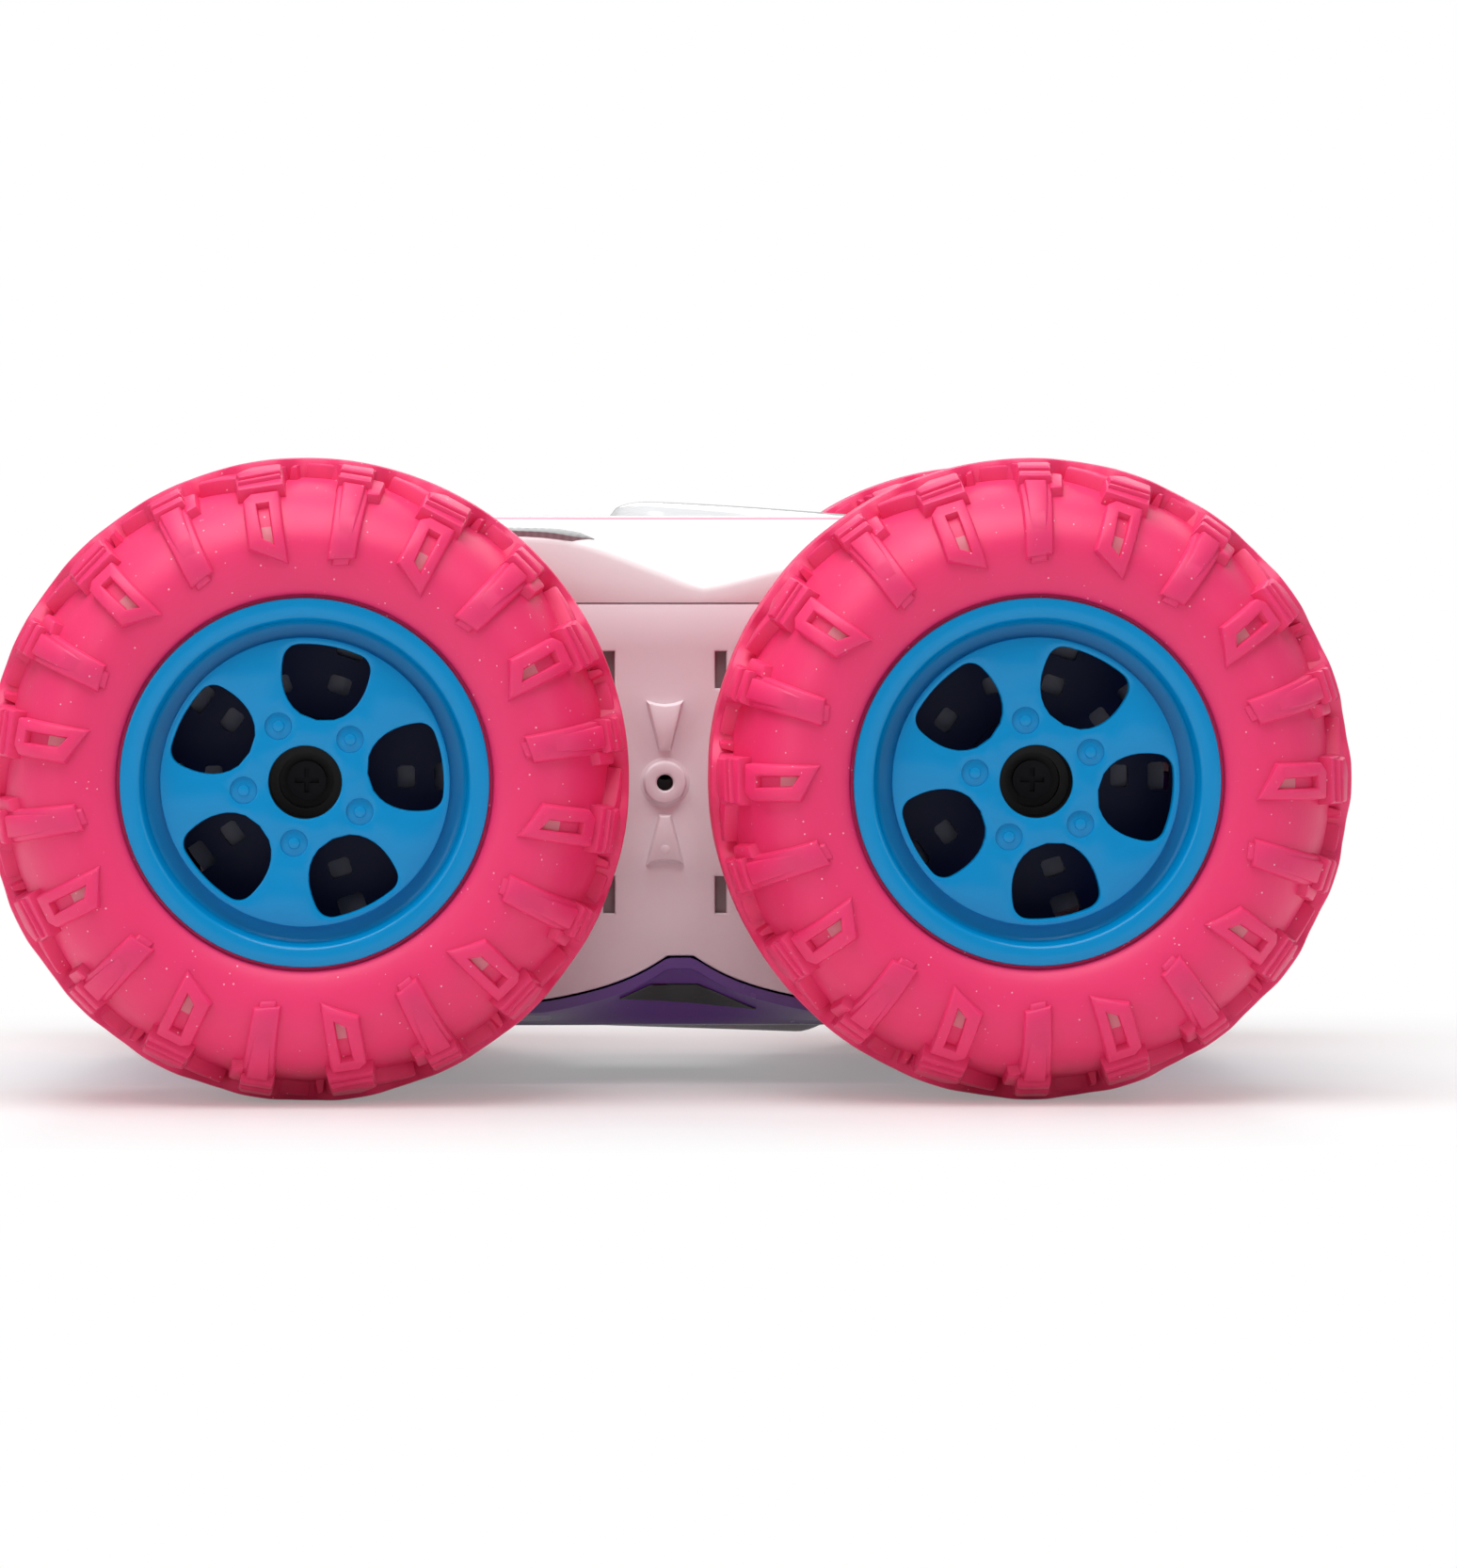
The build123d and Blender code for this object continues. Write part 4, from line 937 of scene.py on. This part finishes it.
def panel_mesh():
    """One side panel in its side frame: X along the car, Y up, Z outboard."""
    target = bmesh.new()
    vents = []
    for x in (-8.6, 8.6):
        for rise in (-17.3, 17.3):
            w, h, y = 0.87, 2.85, boss_height + rise
            vents.append([(x - w, y - h), (x + w, y - h), (x + w, y + h), (x - w, y + h)])
    bushes = [circle(4.09, 48, x, axle_height * 1000) for x in (-54.0, 54.0)]
    hole = circle(1.27, 32, 0.0, boss_height)
    plate(target, panel_outline(), vents + bushes + [hole], panel_back, panel_face, 0.42)
    boss = [(1.27, -0.2), (1.27, 0.9), (1.5, 1.15), (1.8, 1.2), (2.75, 1.2), (3.05, 1.08)]
    boss += [(3.2, 0.8), (3.35, 0.15), (3.9, -0.02), (3.9, -0.2)]
    mark = [(0, 1.14), (0.62, 1.14), (0.75, 1.08), (0.75, 0.8), (0, 0.8)]
    for profile, steps, drop in ((boss, 48, 0.0), (mark, 24, 10.3)):
        lathe(target, [(r, panel_face + z) for r, z in profile], steps, (0.0, boss_height - drop))
    fan = [(-0.85, 5.1), (0.85, 5.1), (2.7, 12.4), (1.4, 12.0), (0, 11.85), (-1.4, 12.0), (-2.7, 12.4)]
    layers = [(-0.25, -0.2), (0.0, 0.72), (0.12, 0.97), (0.32, 1.08)]
    layers = [(amount, panel_face + rise) for amount, rise in layers]
    for way in (1, -1):
        rings = stack(target, [(x, boss_height + way * y) for x, y in fan], layers)
        fill(target, rings[0])
        fill(target, rings[-1])
    for vent in vents:
        for ring in stack(target, vent, [(-0.2, panel_back + 0.25), (-0.2, panel_back - 0.2)]):
            target.faces.new(ring).material_index = 1
    # A black disc behind the boss's hole: painted shade of the hole.
    lining = [(0, panel_back + 0.1), (1.24, panel_back + 0.1), (1.24, panel_back - 0.3), (0, panel_back - 0.3)]
    for face in lathe(target, lining, 32, (0.0, boss_height)):
        face.material_index = 2
    for x, y in ((65.5, 67.5), (-65.5, 67.5), (65.5, 34.5), (-65.5, 34.5), (-6.0, 70.0)):
        post = [(0, panel_back + 0.1), (2.6, panel_back + 0.1), (2.6, panel_back - 5), (1.0, panel_back - 5)]
        lathe(target, post + [(1.0, panel_back - 1), (0, panel_back - 1)], 24, (x, y))
    return finished_mesh("side_panel", target, 34)


def side_matrix(side):
    """The frame that a side's pieces are drawn in."""
    if side == "right":
        return Matrix(((1, 0, 0, 0), (0, 0, -1, 0), (0, 1, 0, 0), (0, 0, 0, 1)))
    return Matrix(((-1, 0, 0, 0), (0, 0, 1, 0), (0, 1, 0, 0), (0, 0, 0, 1)))


# The panel's white is tinted pink: painted bounce light from the pink tyres.
panel_white_pink_bounce = gloss_finish("panel_white_painted_pink_bounce", (0.82, 0.745, 0.785), (0.84, 0.775, 0.81), 0.32, 0.05).material
vent_shade = gloss_finish("shaded_vent_web", (0.20, 0.145, 0.150), (0.25, 0.18, 0.185), 0.45).material
one_panel = panel_mesh()
panel_coats = [panel_white_pink_bounce, vent_shade, painted_hole_shade]
for side in ("right", "left"):
    name, node, place = "white_panel_" + side, "side_panel_" + side, side_matrix(side)
    place_piece(name, one_panel, panel_coats, node, matrix=place)


# ---- Upper shell ---------------------------------------------------------------------------------
# The upper half of the body is a gloss white moulding. Its sides fold in along a crease that dips
# in a soft V over the middle, and a slim grey vent lies in the slope near one wheel on each side.
body_side, roof = (1000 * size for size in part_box("upper_shell")[1].yz)
split = axle_height * 1000
seam = 0.3
shell_wall = 1.3


def end_drop(x):
    """How far the roof has fallen towards the body's ends."""
    x = abs(x)
    if x <= 60:
        return 0.0
    if x <= 78:
        return 5.5 * ((x - 60) / 18) ** 1.6
    return 5.5 + 16 * ((x - 78) / 14) ** 1.5


def end_narrowing(x):
    """How far the sides have closed in towards the body's ends."""
    away = max(abs(x) - 82.0, 0.0)
    return 10 - math.sqrt(max(100 - away * away, 0.0)) if away else 0.0


def crease_height(x):
    """Height of the crease on the right-hand side: a V with a soft point, level further out."""
    bottom = 76.4
    away = x - 5.6
    rise = 0.40 * -away if away < 0 else 0.26 * away
    soft = math.sqrt(rise * rise + 0.1) - 0.3
    top = 84.2 if away < 0 else 82.6
    height = bottom + soft
    return top - math.log(1 + math.exp((top - height) / 0.9)) * 0.9 if height > top - 4 else height


def upper_side(x, way):
    """Half of the shell's section: points from the split line up to the roof's middle."""
    crease_x = x if way < 0 else -x
    drop = end_drop(x)
    narrow = end_narrowing(x)
    top = roof - drop
    crease = min(crease_height(crease_x), top - 3.0)
    side = body_side - narrow
    edge = 24.6 - narrow * 0.8
    points = [(side, split + 0.15), (side, 56.0 if crease > 60 else split + 2)]
    points += [(side, min(65.0, crease - 3.0)), (side, min(panel_top + 0.12, crease - 2.2))]
    points += [(side, crease - 0.9), (side - 0.12, crease - 0.3), (side - 0.5, crease + 0.35)]
    points += [(side - 1.1, crease + 1.05)]
    start, stop = Vector((side - 1.1, crease + 1.05)), Vector((edge + 0.9, top - 0.75))
    for i in range(1, 6):
        point = start.lerp(stop, i / 5)
        bulge = 0.35 * math.sin(math.pi * i / 5)
        points.append((point.x + bulge * 0.5, point.y + bulge))
    points += [(edge + 0.2, top - 0.3), (edge - 0.6, top - 0.08), (edge - 1.6, top), (17.05 - narrow, top)]
    points += [(9.0 - narrow * 0.3, top), (1.65, top)]
    return points


def skin(name, section, stations, keep, inward_up):
    """A moulded skin: sections at stations along the car, joined, given a wall and soft edges."""
    target = bmesh.new()
    columns = []
    for x in stations:
        right = [target.verts.new((x, -y, z)) for y, z in section(x, -1)]
        left = [target.verts.new((x, y, z)) for y, z in section(x, 1)]
        columns.append(right + list(reversed(left)))
    rows = len(columns[0])
    half = rows // 2
    for n in range(len(stations) - 1):
        for i in range(rows - 1):
            row = i if i < half else rows - 2 - i
            if keep((stations[n] + stations[n + 1]) / 2, row, i == half - 1):
                here, after = columns[n], columns[n + 1]
                target.faces.new((here[i], here[i + 1], after[i + 1], after[i]))
    target.faces.new(columns[0])
    target.faces.new(list(reversed(columns[-1])))
    bmesh.ops.remove_doubles(target, verts=target.verts, dist=1e-4)
    loose = [v for v in target.verts if not v.link_faces]
    bmesh.ops.delete(target, geom=loose, context="VERTS")
    bmesh.ops.recalc_face_normals(target, faces=target.faces)
    top = max(target.faces, key=lambda f: abs(f.calc_center_median().z - split))
    if (top.normal.z > 0) != inward_up:
        bmesh.ops.reverse_faces(target, faces=target.faces)
    mesh = bpy.data.meshes.new(name)
    target.to_mesh(mesh)
    target.free()
    mesh.transform(Matrix.Scale(mm, 4))
    piece = bpy.data.objects.new(name + "_making", mesh)
    scene.collection.objects.link(piece)
    wall = piece.modifiers.new("wall", "SOLIDIFY")
    wall.thickness = shell_wall * mm
    wall.offset = -1
    soft = piece.modifiers.new("soft_edges", "BEVEL")
    soft.width = 0.22 * mm
    soft.segments = 2
    soft.limit_method = "ANGLE"
    soft.angle_limit = math.radians(50)
    return piece


def applied(piece, name):
    """The piece's mesh with its modifiers applied; the piece itself is removed."""
    bpy.context.view_layer.update()
    graph = bpy.context.evaluated_depsgraph_get()
    mesh = bpy.data.meshes.new_from_object(piece.evaluated_get(graph))
    mesh.name = name
    bpy.data.objects.remove(piece)
    sharpen(mesh, 40)
    return mesh


panel_gap = panel_half + seam
upper_stations = sorted({-panel_gap, panel_gap, *range(-72, 73, 3), *range(-92, -75, 2), *range(76, 93, 2)})
upper_skin = skin(
    "upper_shell", upper_side, upper_stations, lambda x, row, middle: abs(x) > panel_gap or row >= 3, True
)
upper_white_finish = gloss_finish("shell_white_gloss", (0.86, 0.86, 0.87), (0.89, 0.89, 0.90), 0.12, 0.05)


def edge_pinstripe(finish):
    """A fine pink line tampo-printed along both edges of the roof."""
    place = finish.node("ShaderNodeSeparateXYZ", Vector=finish.place)
    across = place.out("Y").math("ABSOLUTE") * 1000
    height = place.out("Z") * 1000
    along = place.out("X").math("ABSOLUTE") * 1000
    return (across > 24.0) * (across < 25.3) * (height > roof - 0.62) * (along < 72.0)


stripe = edge_pinstripe(upper_white_finish)
plain_white = Wire(upper_white_finish, upper_white_finish.shader.inputs["Base Color"].links[0].from_socket)
upper_white_finish.colour(upper_white_finish.mix(stripe, plain_white, (0.90, 0.42, 0.52, 1)))
upper_white = upper_white_finish.material
place_piece("white_upper_shell", applied(upper_skin, "upper_shell"), upper_white, "upper_shell")


def vent_mesh():
    """A slim leaf-shaped grey grille that follows the shell's slope, right-hand side."""
    target = bmesh.new()
    rows = []
    for n in range(25):
        f = n / 24
        x = -38.0 + 27.2 * f
        side_points = upper_side(x, -1)
        low, high = Vector(side_points[7]), Vector(side_points[12])
        slope = (high - low).normalized()
        out = Vector((slope.y, -slope.x))
        middle = low + slope * (0.4 + 0.9 * (1 - f))
        half = 1.75 * min(1.0, f * 5) * (1.0 if f < 0.86 else max(0.02, (1 - f) / 0.14))
        ring = []
        for across, rise in ((-1, -0.7), (-1, 0.12), (-0.8, 0.2), (0.8, 0.2), (1, 0.12), (1, -0.7)):
            point = middle + slope * half * across + out * rise
            ring.append(target.verts.new((x, -point.x, point.y)))
        rows.append(ring)
    join_rows(target, rows, around=True, ends=True)
    return finished_mesh("slope_vent", target, 30)


vent_finish = Finish("vent_grey")
bands = vent_finish.node("ShaderNodeTexWave", {"bands_direction": "X"}, Vector=vent_finish.place, Scale=260.0)
slats = bands.out("Fac")
vent_finish.colour(vent_finish.mix(slats, (0.25, 0.255, 0.26, 1), (0.31, 0.32, 0.325, 1)))
vent_finish.roughness(0.3 + slats * 0.2)
vent_finish.bump(slats, 0.1, 0.0001)
one_vent = vent_mesh()
for side in ("right", "left"):
    turn = Matrix.Rotation(0 if side == "right" else math.pi, 4, "Z")
    place_piece("slope_vent_" + side, one_vent, vent_finish.material, matrix=turn)


# ---- Cockpit hump --------------------------------------------------------------------------------
# The cockpit on the roof is a milky clear moulding, steep in front and long behind. It is clipped
# into the upper shell from inside.
canopy_low, canopy_high = (1000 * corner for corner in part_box("upper_canopy"))


def hump_mesh(name, low, high, rise):
    """A smooth hump over a flat base: rise(f) along it and rounded over from side to side."""
    target = bmesh.new()
    steps, ribs = 48, 20
    rows = []
    for n in range(steps + 1):
        f = n / steps
        x = low.x + (high.x - low.x) * f
        plan = (1 - abs(2 * f - 1) ** 3.5) ** 0.5 if 0 < f < 1 else 0.0
        half = max(high.y * plan, 0.05)
        row = []
        for k in range(ribs + 1):
            across = 2 * k / ribs - 1
            lift = rise(f) * (1 - abs(across) ** 4.5)
            row.append(target.verts.new((x, half * across, low.z + lift)))
        rows.append(row)
    join_rows(target, rows)
    edge = [row[0] for row in rows] + [row[-1] for row in reversed(rows)]
    foot = [target.verts.new((v.co.x, v.co.y, low.z - 0.4)) for v in edge]
    bmesh.ops.remove_doubles(target, verts=target.verts, dist=1e-6)
    for i in range(len(edge)):
        corners = (edge[i - 1], edge[i], foot[i], foot[i - 1])
        if all(v.is_valid for v in corners):
            target.faces.new(corners)
    target.faces.new(foot)
    return finished_mesh(name, target, 50)


def canopy_rise(f):
    """Steep in front, a short crest, then a long straight fall."""
    height = canopy_high.z - canopy_low.z
    if f < 0.12:
        return height * math.sqrt(max(1 - (1 - f / 0.12) ** 2.2, 0.0))
    return height * max(1 - ((f - 0.12) / 0.70) ** 1.3, 0.05)


milky_clear = gloss_finish(
    "milky_clear", (0.74, 0.76, 0.78), (0.84, 0.85, 0.86), 0.06, Transmission_Weight=0.25, IOR=1.46
).material
cockpit = hump_mesh("cockpit", canopy_low, canopy_high, canopy_rise)
place_piece("milky_cockpit", cockpit, milky_clear, "upper_canopy")


# ---- Lower shell ---------------------------------------------------------------------------------
# The lower half of the body is gloss purple. A raised band follows the side panels' wavy edge, and
# below it the skirt slopes in to a flat belly with the battery opening and the switch slot.
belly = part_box("lower_shell")[0].z * 1000
door_low, door_high = (1000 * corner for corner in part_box("battery_door"))
knob_low, knob_high = (1000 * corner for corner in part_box("switch_knob"))
door_gap = 0.15
slot_start = knob_low.x - door_gap
slot_stop = knob_high.x + 3.0 + door_gap


def lower_side(x, way):
    """Half of the shell's section: points from the split line down to the belly's middle."""
    wave_x = x if way < 0 else -x
    drop = end_drop(x)
    narrow = end_narrowing(x)
    bottom = belly + drop
    side = body_side - narrow
    edge = 24.6 - narrow * 0.8
    rim = max(panel_edge(wave_x) - seam, bottom + 2.9) if abs(x) <= panel_gap else 20.0 + drop * 0.5
    band = 1.65
    points = [(side, split - 0.15), (side, 40.0), (side, 30.0), (side, max(rim, bottom + 2.9))]
    points += [(side, rim - band * 0.5), (side, rim - band), (side - 0.9, rim - band - 0.35)]
    start, stop = Vector((side - 0.9, rim - band - 0.35)), Vector((edge + 0.9, bottom + 0.6))
    points += [tuple(start.lerp(stop, i / 4)) for i in range(1, 5)]
    points += [(edge + 0.1, bottom + 0.2), (edge - 1.2, bottom), (17.05 - narrow, bottom)]
    points += [(9.0 - narrow * 0.3, bottom), (1.65, bottom)]
    return points


def lower_keep(x, row, middle):
    """Leaves out the side panels' room, the battery opening and the switch slot."""
    if abs(x) < panel_gap and row < 3:
        return False
    if abs(x) < door_high.x + door_gap and (row >= 13 or middle):
        return False
    return not (slot_start < x < slot_stop and middle)


lower_stations = sorted(
    {-panel_gap, panel_gap, *range(-72, -33, 3), *range(33, 73, 3), *range(-30, 31, 1)}
    | {*range(-92, -75, 2), *range(76, 93, 2)}
    | {door_low.x - door_gap, door_high.x + door_gap, slot_start, slot_stop}
)
lower_skin = skin("lower_shell", lower_side, lower_stations, lower_keep, False)


well_places = [(x, y) for x in (-47.0, 47.0) for y in (-10.0, 10.0)]


def screw_wells():
    """Cutters for the four wells that the body screws sink into."""
    target = bmesh.new()
    for at in well_places:
        lathe(target, [(0, belly - 2), (3.0, belly - 2), (3.0, belly + 6), (0, belly + 6)], 32, at)
    cutter = bpy.data.objects.new("wells", finished_mesh("wells", target))
    scene.collection.objects.link(cutter)
    return cutter


wells = screw_wells()
cut = lower_skin.modifiers.new("wells", "BOOLEAN")
cut.operation = "DIFFERENCE"
cut.object = wells
lower_mesh = applied(lower_skin, "lower_shell")
bpy.data.objects.remove(wells)


def well_lining_mesh():
    """The posts' round walls above the wells, with a seat and a hole for each screw."""
    target = bmesh.new()
    wall = [(3.0, belly + 0.2), (3.6, belly + 0.2), (3.6, split - 1), (1.5, split - 1)]
    for at in well_places:
        lathe(target, wall + [(1.5, split - 12), (3.0, split - 12)], 32, at)
    return finished_mesh("well_linings", target)


purple = gloss_finish("shell_purple_gloss", (0.092, 0.018, 0.235), (0.112, 0.024, 0.27), 0.20, 0.03).material
place_piece("purple_lower_shell", lower_mesh, purple, "lower_shell")
place_piece("screw_wells", well_lining_mesh(), purple)


# ---- Skirt windows -------------------------------------------------------------------------------
# A flat black window sits in each skirt below the wave. It is glued in from outside.
pane_start = -6.9
pane_stop = 14.1


def skirt_window_mesh():
    """A four-sided pane that follows the skirt under the right-hand panel."""
    target = bmesh.new()
    rows = []
    for n in range(43):
        x = pane_start + (pane_stop - pane_start) * n / 42
        points = lower_side(x, -1)
        high, low = Vector(points[6]), Vector(points[10])
        slope = (low - high).normalized()
        out = Vector((-slope.y, slope.x))
        share = (x - pane_start) / (pane_stop - pane_start)
        foot_height = 13.2 - 1.7 * share
        head_height = min(15.4, 13.2 + (x - pane_start) * 0.45, 11.5 + (pane_stop - x) * 0.43)
        foot, head = ((high.y - z) / -slope.y for z in (foot_height, max(head_height, foot_height + 0.05)))
        row = []
        cut = min(0.12, (foot - head) / 3)
        layers = [(head, -0.5), (head, 0.12), (head + cut, 0.24)]
        layers += [(foot - cut, 0.24), (foot, 0.12), (foot, -0.5)]
        for along, rise in layers:
            point = high + slope * along + out * rise
            row.append(target.verts.new((x, -point.x, point.y)))
        rows.append(row)
    join_rows(target, rows, around=True, ends=True)
    return finished_mesh("skirt_window", target, 30)


window_black = gloss_finish("window_black_gloss", (0.004, 0.004, 0.005), (0.010, 0.010, 0.012), 0.08).material
pane = skirt_window_mesh()
panes = bmesh.new()
panes.from_mesh(pane)
pane.transform(Matrix.Rotation(math.pi, 4, "Z"))
panes.from_mesh(pane)
both_panes = bpy.data.meshes.new("skirt_windows")
panes.to_mesh(both_panes)
panes.free()
sharpen(both_panes, 30)
place_piece("black_skirt_windows", both_panes, window_black, "skirt_windows")


# ---- Battery door --------------------------------------------------------------------------------
# The door under the battery is a pale grey moulding with a shallow keel. It slides into a rebate in
# the belly, and two finger ridges at one end help to push it.
def keel_drop(f):
    """How deep the keel is along the door: deepest near the far end."""
    depth = (door_high.z - door_low.z) * 0.64
    return depth * min(1.0, 0.12 + f * 0.95) * soft_step((1 - f) / 0.12) * soft_step(f / 0.05)


def door_mesh():
    target = bmesh.new()
    corners = [(door_low.x, door_low.y), (door_high.x, door_low.y)]
    corners += [(door_high.x, door_high.y), (door_low.x, door_high.y)]
    outline = rounded(corners, [1.5] * 4)
    layers = [(0.35, belly), (0.1, belly + 0.1), (0.0, belly + 0.35), (0.0, door_high.z)]
    rings = stack(target, outline, layers)
    fill(target, rings[0])
    fill(target, rings[-1])
    steps, ribs = 56, 16
    rows = []
    for n in range(steps + 1):
        f = n / steps
        x = door_low.x + 3 + (door_high.x - door_low.x - 6) * f
        row = []
        for k in range(ribs + 1):
            across = 2 * k / ribs - 1
            drop = keel_drop(f) * (1 - abs(across) ** 8)
            row.append(target.verts.new((x, (door_high.y - 2) * across, belly - drop + 0.02)))
        rows.append(row)
    join_rows(target, rows)
    for n in range(4):
        x = door_low.x + 5.5 + 1.6 * n
        ridge = [(x - 0.35, -6.0), (x + 0.35, -6.0), (x + 0.35, 6.0), (x - 0.35, 6.0)]
        drop = keel_drop((x - door_low.x - 3) / (door_high.x - door_low.x - 6))
        rings = stack(target, ridge, [(0.12, belly - drop - 0.45), (0.0, belly - drop + 0.3)])
        fill(target, rings[0])
        fill(target, rings[-1])
    return finished_mesh("battery_door", target, 40)


door_grey = gloss_finish("door_grey_satin", (0.52, 0.54, 0.53), (0.58, 0.60, 0.59), 0.30, 0.05).material
place_piece("grey_battery_door", door_mesh(), door_grey, "battery_door")


# ---- What the body holds -------------------------------------------------------------------------
# Inside lie the deck, the battery in its plain shrink sleeve on foam pads, the receiver
# board on four posts, two pairs of leads to the motors, and the slide switch in the belly.
sleeve = gloss_finish("blue_shrink_sleeve", (0.012, 0.045, 0.22), (0.02, 0.07, 0.30), 0.22).material
foam = grained_finish("black_foam", (0.012, 0.012, 0.012), (0.03, 0.03, 0.03), 900.0, 0.0003)
board_finish = Finish("board_green", Specular_IOR_Level=0.6)
bricks = board_finish.node("ShaderNodeTexBrick", Vector=board_finish.place, Scale=160.0, Mortar_Size=0.06)
tracks = bricks.out("Fac")
board_finish.colour(board_finish.mix(tracks, (0.010, 0.10, 0.035, 1), (0.045, 0.26, 0.10, 1)))
board_finish.roughness(0.28 + board_finish.noise(300.0, 3.0) * 0.12)
board_finish.bump(tracks, 0.3, 0.00005)
lead_finish = Finish("red_and_black_leads")
lead_side = lead_finish.node("ShaderNodeSeparateXYZ", Vector=lead_finish.place).out("X")
motor_middle = (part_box("motor_right")[0].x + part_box("motor_right")[1].x) / 2
hot = (lead_side.math("ABSOLUTE") > motor_middle - 0.0125) * (lead_side.math("ABSOLUTE") > 0.0115)
sheath = lead_finish.mix(hot, (0.02, 0.02, 0.02, 1), (0.55, 0.02, 0.02, 1))
lead_finish.colour(lead_finish.mix(lead_finish.noise(200.0, 3.0) * 0.3, sheath, (0.2, 0.05, 0.05, 1)))
lead_finish.roughness(0.38 + lead_finish.noise(500.0, 2.0) * 0.15)
lead_finish.bump(lead_finish.noise(800.0, 2.0), 0.1, 0.00005)
knob_black = grained_finish("knob_black", (0.014, 0.014, 0.016), (0.028, 0.028, 0.03), 2200.0, 0.00006)
finish_nodes(tray_black, "deck", "switch_body")
finish_nodes(sleeve, "battery_pack")
finish_nodes(foam, "battery_pads")
finish_nodes(board_finish.material, "circuit_board")
finish_nodes(lead_finish.material, "motor_leads")
finish_nodes(knob_black, "switch_knob")
